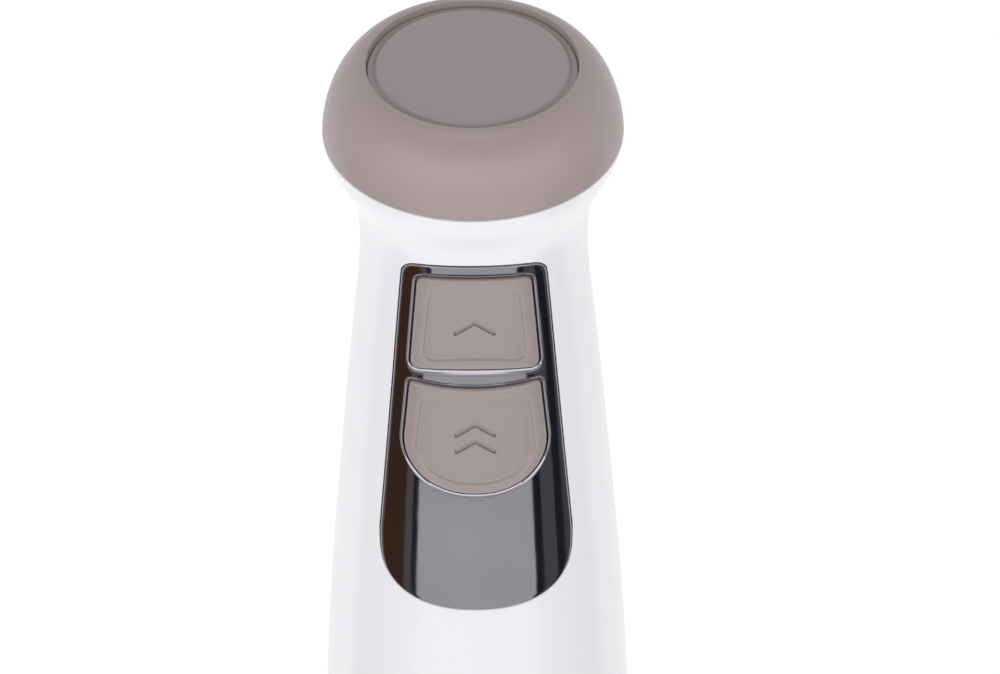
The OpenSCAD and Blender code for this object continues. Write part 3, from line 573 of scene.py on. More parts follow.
def printed_board(name):
    """Solder mask with tracks under it."""
    p = Paint(name, (0.03, 0.16, 0.07), 0.3, Coat_Weight=0.5)
    tracks = p.node("ShaderNodeTexBrick", Scale=90.0)
    tracks.inputs["Mortar Size"].default_value = 0.06
    p.join(p.where, tracks.inputs["Vector"])
    p.tint(tracks.outputs["Fac"], (0.06, 0.28, 0.12), 0.2, 0.8)
    p.gloss(p.noise(500, 3), 0.3, 0.7, 0.22, 0.4)
    p.bump(tracks.outputs["Fac"], 0.00004, 0.6)
    return p.material


WHITE = moulded_gloss("white_shell", (0.80, 0.79, 0.805), (0.785, 0.775, 0.79), 0.22, 0.15)
TAUPE = moulded_gloss("taupe", (0.35, 0.281, 0.279), (0.34, 0.272, 0.27), 0.34, 0.1, 0.35)
TAUPE_SATIN = moulded_satin("taupe_satin", (0.32, 0.262, 0.26), (0.31, 0.253, 0.251), 0.25)
DARK_CHROME = plated_chrome("dark_chrome", (0.255, 0.247, 0.268))
STAINLESS = turned_steel("stainless", (0.66, 0.66, 0.67))
POLISHED = ground_steel("polished_steel", (0.68, 0.68, 0.69), 0.12, (0.03, 1, 1))
BLACK = moulded_satin("black_plastic", (0.025, 0.025, 0.027), (0.04, 0.04, 0.042), 0.4)
RUBBER = soft_rubber("rubber", (0.03, 0.03, 0.03))

SLOT_MATERIALS = {
    "white_shell": WHITE,
    "taupe": TAUPE,
    "taupe_satin": TAUPE_SATIN,
    "dark_chrome": DARK_CHROME,
    "stainless": STAINLESS,
    "black_plastic": BLACK,
    "rubber": RUBBER,
    "fastener_steel": ground_steel("fastener_steel", (0.6, 0.61, 0.63), 0.28, (1, 1, 0.1)),
    "spring_steel": ground_steel("spring_steel", (0.55, 0.55, 0.57), 0.25, (1, 1, 0.2)),
    "bearing_steel": turned_steel("bearing_steel", (0.68, 0.68, 0.7), 0.16, 3000),
    "bracket_steel": cast_metal("bracket_steel", (0.55, 0.55, 0.56), 0.36),
    "lamination": stacked_sheets("lamination", (0.2, 0.2, 0.22)),
    "copper": wound_wire("copper", (0.72, 0.3, 0.14)),
    "commutator_copper": turned_steel("commutator_copper", (0.75, 0.4, 0.25), 0.3, 1500, 0.00003),
    "brass": ground_steel("brass", (0.78, 0.6, 0.28), 0.3, (1, 0.1, 1)),
    "bronze": cast_metal("bronze", (0.5, 0.34, 0.17), 0.45, 2400),
    "carbon": cast_metal("carbon", (0.06, 0.06, 0.06), 0.5, 3000),
    "grey_plastic": moulded_satin("grey_plastic", (0.22, 0.22, 0.23), (0.18, 0.18, 0.19), 0.45),
    "natural_plastic": moulded_satin("natural_plastic", (0.72, 0.7, 0.64), (0.66, 0.63, 0.56), 0.4),
    "red_plastic": moulded_satin("red_plastic", (0.42, 0.04, 0.03), (0.34, 0.03, 0.02), 0.3),
    "yellow_film": moulded_gloss("yellow_film", (0.66, 0.44, 0.08), (0.55, 0.35, 0.05), 0.2),
    "board": printed_board("board"),
}

GLAND_SLOT = [row["material_slot"] for row in frame["record"]["subparts"] if row["node"] == "cord_gland"][0]

for row in frame["record"]["subparts"]:
    cad = frame["nodes"][row["node"]]
    cad.data.materials.clear()
    cad.data.materials.append(SLOT_MATERIALS[row["material_slot"]])

# ---- Housing ---------------------------------------------------------------

SKIN_STEP = 1.0       # spacing of the rings that shape the grip's skin
EDGE = 0.16           # rounding where the two shells meet
PAD_HALF_Y = 6.3      # half the breadth of a release pad
PAD_HALF_Z = 6.5      # half its height
PAD_CORNER = 4.0      # radius of its corners


def release_outline(by):
    """Rounded pad outline at the side, as (y, height) points about the pad's centre."""
    y, z = PAD_HALF_Y + by, PAD_HALF_Z + by
    return rounded([(-y, -z), (y, -z), (y, z), (-y, z)], [PAD_CORNER + by] * 4, 10)


def side_prism(outline, side, x0, x1):
    """Pad outline extruded along X."""
    rings = [[(side * x, y, RELEASE_Z + z) for y, z in outline] for x in (x0, x1)]
    return loft(rings, ends=("fill", "fill"))


def half_shell(name, start):
    """Half of the grip, 180 degrees from the start angle, with rounded meeting edges."""
    top, low = SHELL_TOP, SHELL_LOW
    outer = np.arange(low, top, SKIN_STEP)
    inner = np.arange(low, top, 4.0)
    section = [(grip_r(z) - 0.12 * (z == low), z) for z in outer]
    section += [(grip_r(top) - 0.02, top - 0.2), (grip_r(top) - 0.2, top)]
    section += [(grip_r(top) - WALL, top)]
    section += [(grip_r(z) - WALL, z) for z in inner[::-1]]
    section.insert(1, (grip_r(low + 0.15), low + 0.15))
    bm = spun(section, steps=150, turn=180, start=start)
    rims = [e for e in bm.edges if e.is_boundary]
    for side in (1, -1):
        bmesh.ops.contextual_create(bm, geom=[e for e in rims if e.verts[0].co.x * side > 0])
    caps = [f for f in bm.faces if len(f.verts) > 8]
    edge = [e for f in caps for e in f.edges]
    shift = -1 if start == 180 else 1
    for f in caps:
        for v in f.verts:
            v.co.y = shift * 0.05
    bmesh.ops.bevel(bm, geom=edge, offset=EDGE, offset_type="OFFSET", segments=2, profile=0.5,
                    affect="EDGES", clamp_overlap=True, material=-1)
    return finished(bm, name, WHITE)


def seat_cutter():
    """Bezel seat with a rounded lip."""
    outline = bezel_outline()
    steps = [(SEAT_GAP, -3.2), (SEAT_GAP, -0.34), (SEAT_GAP + 0.03, -0.2), (SEAT_GAP + 0.1, -0.09),
             (SEAT_GAP + 0.22, -0.02), (SEAT_GAP + 0.36, 0.02), (SEAT_GAP + 0.36, 2.0)]
    rays = [on_rays(grown(outline, by), BEZEL_MID) for by, rise in steps]
    rings = [on_front(ring, rise) for ring, (by, rise) in zip(rays, steps)]
    back = inwards(rays[0], BEZEL_MID, steps[0][1], 10)[::-1]
    front = inwards(rays[-1], BEZEL_MID, steps[-1][1], 10)
    return finished(loft(back + rings + front), "seat_cutter", None)


def slot_cutter(angle, width, z0, z1):
    """Upright slot with round ends, for an air vent at an angle from the back."""
    r = width / 2
    flat = []
    for z, turn in ((z1 - r, 0), (z0 + r, math.pi)):
        arc = [turn + math.pi * k / 10 for k in range(11)]
        flat += [(r * math.cos(a), z + r * math.sin(a)) for a in arc]
    rings = [[(x, y, z) for x, z in flat] for y in (15, 45)]
    return turned(loft(rings, ends=("fill", "fill")), angle)


def joined(parts, name):
    """One mesh of several that don't touch."""
    whole = bmesh.new()
    for part in parts:
        mesh = bpy.data.meshes.new("part")
        bmesh.ops.recalc_face_normals(part, faces=part.faces)
        part.to_mesh(mesh)
        part.free()
        whole.from_mesh(mesh)
        bpy.data.meshes.remove(mesh)
    return finished(whole, name, None)


def windows():
    return [side_prism(release_outline(0.4), side, 20, 40) for side in (-1, 1)]


def make_front_housing():
    shell = half_shell("front_housing", 180)
    combined(shell, [seat_cutter(), joined(windows(), "window_cutter")])
    return place(shell, "motor_unit", "white_shell", "front_shell")


def make_rear_housing():
    shell = half_shell("rear_housing", 0)
    low_vents = [slot_cutter(i * 9, 2.4, SEAM_Z + 31, SEAM_Z + 45) for i in range(-4, 5)]
    high_vents = [slot_cutter(i * 11.5, 1.8, HEAD_Z - 42, HEAD_Z - 33) for i in range(-5, 6) if abs(i) > 1]
    inlet = moved(turned(rod(6.1, 20, 64), 90, "X"), 0, 24, INLET_Z)
    combined(shell, [joined(windows() + low_vents + high_vents + [inlet], "vent_cutter")])
    return place(shell, "motor_unit", "white_shell", "rear_shell")


# ---- Cap -------------------------------------------------------------------

DISC_R = 20.1
LIP_R = DISC_R + 0.5
DOME_FOOT = 0.8
HEAD_R = 29.1
CAP_LOW = 1.15
DOME_POWER = 1.8      # 2 would make the dome's section an ellipse
SEAT_RISE = 13.9      # seat of the disc, over the head's widest level


def dome_r(z):
    share = (z - DOME_FOOT) / (CAP_RISE - DOME_FOOT)
    return LIP_R + (HEAD_R - LIP_R) * max(0.0, 1 - share ** DOME_POWER) ** (1 / DOME_POWER)


def make_cap():
    first, last = CAP_LOW + 0.22, CAP_RISE - 0.15
    heights = [first + (last - first) * math.sin(math.pi / 2 * i / 40) for i in range(41)]
    dome = [(dome_r(z), z) for z in heights]
    lip = rounded([dome[-1], (LIP_R - 0.1, CAP_RISE), (DISC_R + 0.28, CAP_RISE - 0.05),
                   (DISC_R + 0.06, SEAT_RISE)], [0, 0.25, 0.22, 0], 5)[1:]
    inside = [(0, SEAT_RISE), (0, 11.6), (18, 11.6), (22, 10.5), (24.2, 7), (25.8, 3), (23.2, 3),
              (23.2, -3.4), (24.8, -3.4), (24.8, CAP_LOW)]
    edge = rounded([(24.8, CAP_LOW), (HEAD_R - 0.03, CAP_LOW), dome[0]], [0, 0.3, 0], 5)[1:-1]
    section = [(r, z + HEAD_Z) for r, z in [inside[0]] + lip[::-1] + dome[::-1] + edge[::-1] + inside[:0:-1]]
    cap = finished(spun(section, steps=256), "cap", TAUPE)
    return place(cap, "motor_unit", "taupe", "top_cap")


def make_disc():
    """Disc with a shallow groove round its face."""
    top = CAP_RISE - 0.75
    under = top - 1.75
    face_r, floor = DISC_R - 1.9, top - 0.6
    face = [(face_r * (1 - i / 12), top) for i in range(2, 12)]
    section = rounded([(0, under), (DISC_R, under), (DISC_R, floor - 0.04), (DISC_R - 1.0, floor),
                       (face_r + 0.1, top), (0, top)], [0, 0.2, 0.12, 0.6, 0.5, 0], 7)
    section = section[:-1] + face + [(0, top)]
    disc = finished(spun([(r, z + HEAD_Z) for r, z in section], steps=256), "cap_plate", TAUPE_SATIN)
    return place(disc, "motor_unit", "taupe_satin", "cap_disc")


# ---- Bezel and buttons -----------------------------------------------------

def bead(outline, centre):
    """Lip round an opening: a flank that rises away from the button to a round crest, broadest below it."""
    steps = [(0, -BEZEL_T + 0.1), (0, 0.24), (0.05, 0.3), (0.3, 0.38), (0.55, 0.52), (0.68, 0.56),
             (0.82, 0.54), (0.94, 0.46), (1.02, 0.34), (1.05, 0.1), (1.05, -BEZEL_T + 0.1)]
    start = on_rays(grown(outline, GAP), centre)
    along = np.roll(start, -4, 0) - np.roll(start, 4, 0)
    low = np.where(start[:, 1] < centre[1], np.abs(along[:, 0]) / np.linalg.norm(along, axis=1), 0)
    broad = (0.55 + 0.85 * low ** 3)[:, None]
    rings = [on_front(start + (on_rays(grown(outline, GAP + by), centre) - start) * broad, rise)
             for by, rise in steps]
    return finished(loft(rings, loop=True), "bead", None)


def make_bezel():
    outline = bezel_outline()
    steps = [(0, -BEZEL_T), (0, -0.16), (-0.03, 0.0), (-0.11, 0.13), (-0.24, 0.22), (-0.42, 0.25)]
    rays = [on_rays(grown(outline, by), BEZEL_MID) for by, rise in steps]
    rings = [on_front(ring, rise) for ring, (by, rise) in zip(rays, steps)]
    back = inwards(rays[0], BEZEL_MID, -BEZEL_T, 30)[::-1]
    face = inwards(rays[-1], BEZEL_MID, 0.25, 60)
    bezel = finished(loft(back + rings + face), "bezel", DARK_CHROME)
    holes = [finished(opening_cutter(shape(), mid, GAP + 0.5), "hole", None)
             for shape, mid in ((speed_outline, SPEED_MID), (turbo_outline, TURBO_MID))]
    combined(bezel, holes)
    beads = [bead(speed_outline(), SPEED_MID), bead(turbo_outline(), TURBO_MID)]
    combined(bezel, beads, "UNION")
    return place(bezel, "motor_unit", "dark_chrome", "button_bezel")


FIELD = 2.2           # width of a button's border
FIELD_DROP = 0.7      # depth of its sunk field
BUTTON_BACK = -3.9    # back of a button, under the grip's skin
PLUNGER_Y = -15.2     # end of a button's stem, where its plunger starts


def button_body(outline, field, centre):
    """Button with a rounded edge, a flat border and a sunk field."""
    edge = [(0, BUTTON_BACK), (0, 0.2), (-0.03, 0.42), (-0.11, 0.6), (-0.25, 0.75), (-0.44, 0.85),
            (-0.68, PROUD)]
    floor = PROUD - FIELD_DROP
    step = [(0.4, PROUD), (0.2, PROUD - 0.03), (0.02, PROUD - 0.12), (-0.16, PROUD - 0.3),
            (-0.34, floor + 0.22), (-0.52, floor + 0.09), (-0.75, floor + 0.02), (-1.0, floor)]
    rings = []
    for base, row in ((outline, edge), (field, step)):
        for by, rise in row:
            rings.append((on_rays(grown(base, by), centre), rise))
    back = inwards(rings[0][0], centre, BUTTON_BACK, 12)[::-1]
    face = inwards(rings[-1][0], centre, floor, 30)
    return loft(back + [on_front(ring, rise) for ring, rise in rings] + face)


def chevron_cutter(mid):
    """Upward chevron as one bent bar, sunk into the field."""
    half, rise, thick = 4.1, 1.5, 0.62
    bar = [(-half, -rise - thick), (0, rise - thick), (half, -rise - thick),
           (half, -rise + thick), (0, rise + thick), (-half, -rise + thick)]
    flat = np.array(rounded(bar, [0.3, 0.2, 0.3, 0.3, 0.4, 0.3], 4)) + (0, mid)
    depth = PROUD - FIELD_DROP - 0.4
    return loft([on_front(flat, depth), on_front(flat, 3.0)], ends=("fill", "fill"))


def flange(outline, centre):
    """Hidden skirt behind the housing that keeps the button in."""
    ring = on_rays(grown(outline, 1.7), centre)
    low = BUTTON_BACK + 0.05
    rings = [on_front(ring, low), on_front(ring, SKIRT_RISE)]
    back = inwards(ring, centre, low, 12)[::-1]
    face = inwards(ring, centre, SKIRT_RISE, 12)
    return finished(loft(back + rings + face), "flange", None)


def make_button(name, shape, radius, centre, marks, stem_z):
    button = finished(button_body(shape(), shape(FIELD, radius), centre), name, TAUPE_SATIN)
    combined(button, [flange(shape(), centre)], "UNION")
    cutters = [chevron_cutter(mid) for mid in marks]
    combined(button, [joined(cutters, "mark_cutter")], sharp=28)
    back_y = -grip_r(HEAD_Z + stem_z) - BUTTON_BACK
    length = PLUNGER_Y - back_y + 0.6
    stem = moved(turned(rod(2.2, length), 90, "X"), 0, PLUNGER_Y - length / 2, HEAD_Z + stem_z)
    combined(button, [finished(stem, "stem", None)], "UNION")
    return place(button, name, "taupe_satin", name)


# ---- Release pads ----------------------------------------------------------

def on_side(flat, side, rise):
    """Lays (y, height) points on the side of the grip."""
    y, z = np.array(flat)[:, 0], np.array(flat)[:, 1] + RELEASE_Z
    r = grip_r(z) + rise
    return np.stack([side * np.sqrt(np.maximum(r * r - y * y, 0.01)), y, z], 1)


PAD_BACK = -4.2       # back of a pad, under the grip's skin
PAD_RISE = 1.3        # how far a pad stands out


def make_release(side, name, body, node):
    outline = release_outline(0)
    steps = [(0, PAD_BACK), (0, 0.75), (-0.05, 0.98), (-0.2, 1.16), (-0.45, 1.27), (-0.8, PAD_RISE)]
    flats = [np.array(grown(outline, by)) for by, rise in steps]
    rings = [on_side(flat, side, rise) for flat, (by, rise) in zip(flats, steps)]
    closing = [1 - k / 8 for k in range(1, 8)]
    back = [on_side(flats[0] * share, side, PAD_BACK) for share in closing[::-1]]
    # Three shallow rings for the thumb
    face = []
    for k in range(1, 24):
        groove = 0.125 * (1 - math.cos(k / 24 * 6 * math.pi))
        face.append(on_side(flats[-1] * (1 - k / 24), side, PAD_RISE - groove))
    pad = finished(loft(back + rings + face), name, TAUPE_SATIN)
    skirt_flat = np.array(grown(outline, 1.3))
    low = PAD_BACK + 0.05
    skirt = [on_side(skirt_flat * share, side, low) for share in closing[::-1]]
    skirt += [on_side(skirt_flat, side, low), on_side(skirt_flat, side, SKIRT_RISE)]
    skirt += [on_side(skirt_flat * share, side, SKIRT_RISE) for share in closing]
    tip = min(abs(mm(corner.x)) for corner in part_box(node))
    stem = block((5.6, 7, 2.4), (side * (tip + 2.8), 0, SEAM_Z + 18), 0.25)
    combined(pad, [finished(loft(skirt), "skirt", None), finished(stem, "stem", None)], "UNION")
    return place(pad, body, "taupe_satin", node)


# ---- Base, foot and blade --------------------------------------------------

BOTH_SIDES = (90, 270)


def screw_recesses(z0, z1):
    """The four screws stand on a circle under the base."""
    circle_r, recess_r = 24.0, 2.1
    angles = [math.radians(45 + 90 * k) for k in range(4)]
    return [moved(rod(recess_r, z1 - z0, 32), circle_r * math.cos(a), circle_r * math.sin(a), (z0 + z1) / 2)
            for a in angles]


def make_base_band():
    """Coloured band round the base, its floor and the socket's wall."""
    z0, z1 = SEAM_Z, SEAM_Z + BAND_H
    r0 = float(grip_r(z0))
    inner = float(grip_r(z1)) - WALL
    outside = [(float(grip_r(z)), z) for z in np.linspace(z0 + 0.35, z1 - 0.2, 14)]
    socket_r = 19.2
    spigot_r = inner - 0.15
    under = [(socket_r, z0 + 0.3), (socket_r + 0.3, z0), (r0 - 0.4, z0), (r0 - 0.12, z0 + 0.1)]
    inside = [(float(grip_r(z1)) - 0.15, z1), (spigot_r, z1), (spigot_r, z0 + 9), (spigot_r - 1.6, z0 + 9),
              (spigot_r - 1.6, z0 + 3), (socket_r + 1.6, z0 + 3), (socket_r + 1.6, z0 + 16.1),
              (socket_r, z0 + 16.1)]
    section = under + outside + inside
    band = finished(spun(section, steps=192), "base_band", TAUPE)
    keyways = [turned(block((11.3, 3.8, 12), (15.65, 0, z0 + 5)), a) for a in BOTH_SIDES]
    combined(band, [joined(keyways + screw_recesses(z0 - 1, z0 + 2.2), "recess_cutter")])
    return place(band, "motor_unit", "taupe", "base_collar")


# Radius of the foot's collar against height over its foot
COLLAR = [(0, 14.6), (5, 15.4), (11, 18), (17, 22.4), (21, 25), (24.5, 26.2)]
TUBE_TOP_R = 12.6
TUBE_LOW_R = 9.8
SPIGOT_R = 18.8       # the foot's spigot, which enters the socket


def make_foot_collar():
    low = SEAM_Z - 24.8
    at, r = eased(COLLAR, 0.35, 0.7)
    outside = [(float(b), low + float(a)) for a, b in zip(at, r)][1:-1]
    groove = SEAM_Z + 16.3
    spigot = [(26.1, SEAM_Z - 0.25), (SPIGOT_R, SEAM_Z - 0.25), (SPIGOT_R, groove), (17.5, groove),
              (17.5, groove + 3.4), (SPIGOT_R, groove + 3.4), (SPIGOT_R, SEAM_Z + 24.5), (16.2, SEAM_Z + 24.5),
              (16.2, SEAM_Z - 1.5), (7.6, SEAM_Z - 1.5), (7.6, SEAM_Z + 11), (4.55, SEAM_Z + 11),
              (4.55, SEAM_Z - 5), (TUBE_TOP_R + 0.03, SEAM_Z - 5), (TUBE_TOP_R + 0.03, low), (14.4, low)]
    radii = [0.3, 0.4, 0.2, 0.2, 0.2, 0.2, 0.9, 0.5, 0.5, 0.5, 0.4, 0, 0, 0, 0.3, 0.3]
    collar = finished(spun(outside + rounded(spigot, radii, 4), steps=192), "foot_neck", WHITE)
    keys = [turned(block((3.0, 3.2, 9.8), (18.5, 0, SEAM_Z + 4.1), 0.3), a) for a in BOTH_SIDES]
    combined(collar, [joined(keys, "keys")], "UNION")
    return place(collar, "blending_foot", "white_shell", "foot_collar")


def make_tube():
    z0, z1 = foot_of("shaft_tube"), top_of("shaft_tube")
    flare = (z0 + 20, SEAM_Z - 32.8)
    wall = 0.9
    rise = np.linspace(*flare, 60)
    ease = 0.5 - 0.5 * np.cos(np.linspace(0, math.pi, 60))
    radii = TUBE_LOW_R + (TUBE_TOP_R - TUBE_LOW_R) * (0.35 * ease + 0.65 * np.linspace(0, 1, 60))
    outside = [(TUBE_LOW_R, z0)] + list(zip(radii, rise)) + [(TUBE_TOP_R, z1)]
    section = outside + [(r - wall, z) for r, z in outside[::-1]]
    tube = finished(spun(section, steps=160), "tube", STAINLESS)
    return place(tube, "blending_foot", "stainless", "shaft_tube")


# Radius of the bell against height
BELL = [(0, 31.5), (8, 31.3), (16, 29.5), (22, 25.9), (27, 20.7), (32, 15.9), (38, 12.6), (50, 11.1)]


def make_bell():
    at, r = eased(BELL, 0.5, 0.9)
    wall = 1.4
    outside = [(float(b), float(a)) for a, b in zip(at, r) if 0.3 < a < 49.7]
    inside = [(max(TUBE_LOW_R + 0.03, b - wall), a) for b, a in outside]
    section = ([(31.35, 0.12), (31.1, 0.0), (30.45, 0.0), (30.2, 0.12)] + inside
               + [(TUBE_LOW_R + 0.03, 50), (10.9, 50), (11.1, 49.85)] + outside[::-1])
    bell = finished(spun(section, steps=256), "bell", STAINLESS)
    notches = []
    half = 9.0
    angles = [math.pi * k / 24 for k in range(25)]
    arch = [(-half, -2), (half, -2)] + [(half * math.cos(a), 3 + half * math.sin(a)) for a in angles]
    for turn in (0, 90):
        tunnel = loft([[(x, y, z) for y, z in arch] for x in (-40, 40)], ends=("fill", "fill"))
        notches.append(finished(turned(tunnel, turn), "notch", None))
    combined(bell, notches)
    return place(bell, "blending_foot", "stainless", "bell_guard")


BLADE_Z = 14.4        # underside of the blade
BLADE_T = 1.2
HUB_R = 5.5
BEND_X = 3.4          # where each wing bends down or up
SHAFT_BORE_R = 2.52


def make_wing(side):
    """One wing, ground to an edge all round, then bent down or up."""
    tip = max(mm(corner.x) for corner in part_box("blade"))
    outline = rounded([(1, -3.6), (HUB_R, -HUB_R + 0.9), (tip - 3.5, -2.6), (tip - 0.6, -0.4),
                       (tip - 0.2, 1.8), (tip - 2.2, 3.6), (9, 5.0), (1, 3.6)],
                      [0, 1.2, 1.5, 0.8, 0.8, 1.5, 3, 0], 4)
    outline = split_up(outline, 0.8)
    steps = [(-0.1, 0.02), (0, 0.1), (0, 0.2), (-1.3, BLADE_T - 0.08), (-1.45, BLADE_T - 0.02)]
    rings = [[(x, y, BLADE_Z + rise) for x, y in grown(outline, by)] for by, rise in steps]
    bm = loft(rings, ends=("fill", "fill"))
    bmesh.ops.bisect_plane(bm, geom=bm.verts[:] + bm.edges[:] + bm.faces[:],
                           plane_co=(BEND_X, 0, 0), plane_no=(1, 0, 0))
    bend = Matrix.Rotation(math.radians(10 if side == 0 else -8), 3, "Y")
    outer = [v for v in bm.verts if v.co.x > BEND_X]
    bmesh.ops.rotate(bm, cent=(BEND_X, 0, BLADE_Z), matrix=bend, verts=outer)
    return finished(turned(bm, 180 * side), "wing", None)


def make_blade():
    """Two swept wings on a hub."""
    z0, z1 = BLADE_Z, BLADE_Z + BLADE_T
    section = rounded([(0, z0), (HUB_R, z0), (HUB_R, z1), (0, z1)], [0, 0.12, 0.12, 0], 3)
    blade = finished(spun(section, steps=96), "cutting_blade", POLISHED, 25)
    bore = moved(rod(SHAFT_BORE_R, 6, 96), 0, 0, z0)
    combined(blade, [make_wing(side) for side in (0, 1)], "UNION", 25)
    combined(blade, [finished(bore, "bore", None)], sharp=25)
    return place(blade, "blade_drive", "stainless", "blade")


def make_gland():
    """Moulded gland with a flange and four flex grooves round its nose, drawn along Y."""
    inlet = 3.6
    points = [(inlet, 16.5), (7.6, 16.5), (7.6, 18), (6.0, 18), (6.0, 24.2), (7.4, 24.2), (7.4, 25.6)]
    radii = [0.2, 0.3, 0.3, 0, 0, 0.35, 0.35]
    for k in range(4):
        y = 26.1 + 1.35 * k
        r = 5.9 - 0.17 * (y - 25)
        points += [(r, y), (r - 0.75, y + 0.35), (r - 0.75, y + 0.75), (r - 0.15, y + 1.1)]
        radii += [0.2, 0.15, 0.15, 0.2]
    points += [(4.85, 31.97), (inlet, 31.97)]
    radii += [0.35, 0.3]
    bm = moved(turned(spun(rounded(points, radii, 4), steps=96), -90, "X"), 0, 0, INLET_Z)
    return place(finished(bm, "gland", SLOT_MATERIALS[GLAND_SLOT]), "motor_unit", GLAND_SLOT, "cord_gland")


def make_nut():
    """Hexagon nut with a rounded nose."""
    across, low, mid, high = 7.0, 7.65, 10.25, 14.2
    corner = across / 2 / math.cos(math.pi / 6)
    hexagon = moved(turned(rod(corner, high - mid, 6), 30), 0, 0, (mid + high) / 2)
    nut = finished(hexagon, "end_nut", POLISHED, 25)
    chamfer = spun([(0, mid - 1), (3.6, mid - 1), (3.6, mid + 0.05), (4.2, mid + 0.5), (4.2, high - 0.4),
                    (3.6, high + 0.1), (0, high + 0.1)], steps=96)
    combined(nut, [finished(chamfer, "chamfer", None)], "INTERSECT", 25)
    nose = rounded([(0, low), (2.2, low), (3.45, mid + 0.1), (0, mid + 0.1)], [0, 0.9, 0, 0], 8)
    combined(nut, [finished(spun(nose, steps=96), "nose", None)], "UNION", 25)
    return place(nut, "blade_drive", "stainless", "blade_nut")


make_front_housing()
make_rear_housing()
make_cap()
make_disc()
make_bezel()
make_button("speed_button", speed_outline, 2.6, SPEED_MID, (-30.4,), -30.4)
make_button("turbo_button", turbo_outline, 2.3, TURBO_MID, (-54.6, -58.6), -57.4)
make_release(-1, "left_release_pad", "left_release", "left_release_button")
make_release(1, "right_release_pad", "right_release", "right_release_button")
make_base_band()
make_foot_collar()
make_tube()
make_bell()
make_blade()
make_nut()
make_gland()

# ---- Floor, light and camera -----------------------------------------------

def make_floor():
    bm = bmesh.new()
    bmesh.ops.create_grid(bm, x_segments=1, y_segments=1, size=6)
    bmesh.ops.translate(bm, vec=(0, 0, -0.0002), verts=bm.verts)
    mesh = bpy.data.meshes.new("floor")
    bm.to_mesh(mesh)
    bm.free()
    floor = bpy.data.objects.new("floor", mesh)
    bpy.context.scene.collection.objects.link(floor)
    p = Paint("floor_white", (0.93, 0.93, 0.93), 0.6, Emission_Color=(1, 1, 1, 1), Emission_Strength=0.3)
    p.tint(p.noise(3, 2), (0.92, 0.92, 0.92), 0.3, 0.7)
    # Clear from below, so that it doesn't hide the underside
    choice = p.node("ShaderNodeMixShader")
    p.join(p.node("ShaderNodeNewGeometry").outputs["Backfacing"], choice.inputs[0])
    p.join(p.shader.outputs["BSDF"], choice.inputs[1])
    p.join(p.node("ShaderNodeBsdfTransparent").outputs["BSDF"], choice.inputs[2])
    p.join(choice.outputs["Shader"], p.tree.nodes["Material Output"].inputs["Surface"])
    mesh.materials.append(p.material)


def softbox(name, place_at, target, size, radiance):
    """Area lamp whose power comes from how bright its face looks."""
    data = bpy.data.lights.new(name, "AREA")
    data.shape = "RECTANGLE"
    data.size, data.size_y = size
    data.energy = radiance * math.pi * size[0] * size[1]
    lamp = bpy.data.objects.new(name, data)
    bpy.context.scene.collection.objects.link(lamp)
    lamp.location = place_at
    lamp.rotation_euler = (Vector(target) - Vector(place_at)).to_track_quat("-Z", "Y").to_euler()
    return lamp


def reflector(name, start, end, colour, radius=0.26, low=0.0, high=0.31):
    """Curved upright card that shows only in reflections. Angles run from the front; sizes are in metres."""
    a = math.radians(start)
    x, y = radius * math.sin(a), -radius * math.cos(a)
    bm = bmesh.new()
    verts, edges = line(bm, [(x, y, low), (x, y, high)], closed=False)
    bmesh.ops.spin(bm, geom=verts + edges, cent=(0, 0, 0), axis=(0, 0, 1), angle=math.radians(end - start),
                   steps=12, use_duplicate=False)
    mesh = bpy.data.meshes.new(name)
    bm.to_mesh(mesh)
    bm.free()
    card = bpy.data.objects.new(name, mesh)
    bpy.context.scene.collection.objects.link(card)
    p = Paint(name, (0, 0, 0), 1.0, Specular_IOR_Level=0, Emission_Color=(*colour, 1), Emission_Strength=1)
    mesh.materials.append(p.material)
    card.visible_camera = False
    card.visible_diffuse = False
    card.visible_shadow = False
    card.visible_transmission = False


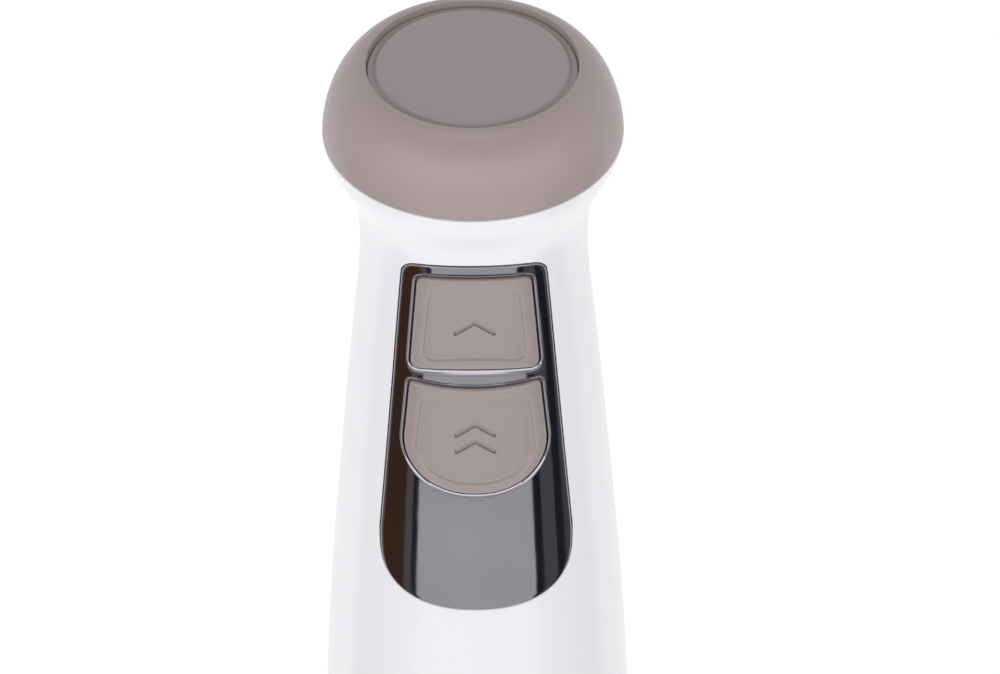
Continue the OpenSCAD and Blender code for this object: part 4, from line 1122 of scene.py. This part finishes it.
def make_reflectors():
    """The studio as the chrome sees it: dark sides low down, and a bright strip round the front."""
    reflector("left_edge", -45, -50, (0.04, 0.05, 0.08))
    reflector("left_stand", -50, -56, (0.24, 0.22, 0.21))
    reflector("left_wall", -56, -78, (0.13, 0.07, 0.04))
    reflector("left_back", -78, -102, (0.28, 0.25, 0.24))
    reflector("right_edge", 45, 52, (0.03, 0.035, 0.06))
    reflector("right_stand", 52, 64, (0.2, 0.19, 0.19))
    reflector("right_gap", 64, 72, (0.04, 0.04, 0.06))
    reflector("right_back", 72, 102, (0.17, 0.165, 0.175))
    reflector("front_strip", -66, 66, (2.6, 2.6, 2.65), radius=1.0, low=0.39, high=0.76)


def make_world():
    """Even studio surroundings, darker overhead."""
    world = bpy.data.worlds.new("studio")
    world.use_nodes = True
    tree = world.node_tree
    where = tree.nodes.new("ShaderNodeTexCoord")
    split = tree.nodes.new("ShaderNodeSeparateXYZ")
    fade = tree.nodes.new("ShaderNodeValToRGB")
    tree.links.new(where.outputs["Generated"], split.inputs["Vector"])
    tree.links.new(split.outputs["Z"], fade.inputs["Fac"])
    tree.links.new(fade.outputs["Color"], tree.nodes["Background"].inputs["Color"])
    tree.nodes["Background"].inputs["Strength"].default_value = 1.0
    low, high = fade.color_ramp.elements
    low.position, low.color = 0.0, (0.93, 0.93, 0.95, 1)
    high.position, high.color = 1.0, (0.5, 0.5, 0.52, 1)
    fade.color_ramp.elements.new(0.4).color = (0.88, 0.88, 0.9, 1)
    bpy.context.scene.world = world


def make_light():
    make_world()
    make_reflectors()
    softbox("overhead", (0.0, -0.1, 1.6), (0, 0, 0.35), (0.7, 0.22), 4)
    front = softbox("front", (-0.35, -1.9, 0.85), (0, 0, 0.34), (1.5, 0.7), 2.0)
    front.visible_glossy = False


def make_camera():
    """Looks down at the head from 40 degrees up, from 0.8 m."""
    data = bpy.data.cameras.new("camera")
    data.sensor_width = 36
    data.lens = 149.05
    data.shift_x = 0.0254
    data.clip_end = 20
    camera = bpy.data.objects.new("camera", data)
    bpy.context.scene.collection.objects.link(camera)
    tilt, roll = math.radians(40.13), math.radians(-0.45)
    camera.location = (0, -0.6364, HEAD_Z * MM + 0.4848)
    look = Matrix.Rotation(math.pi / 2 - tilt, 4, "X") @ Matrix.Rotation(roll, 4, "Z")
    camera.rotation_euler = look.to_euler()
    bpy.context.scene.camera = camera


make_floor()
make_light()
make_camera()
bpy.context.scene.view_settings.view_transform = "Standard"
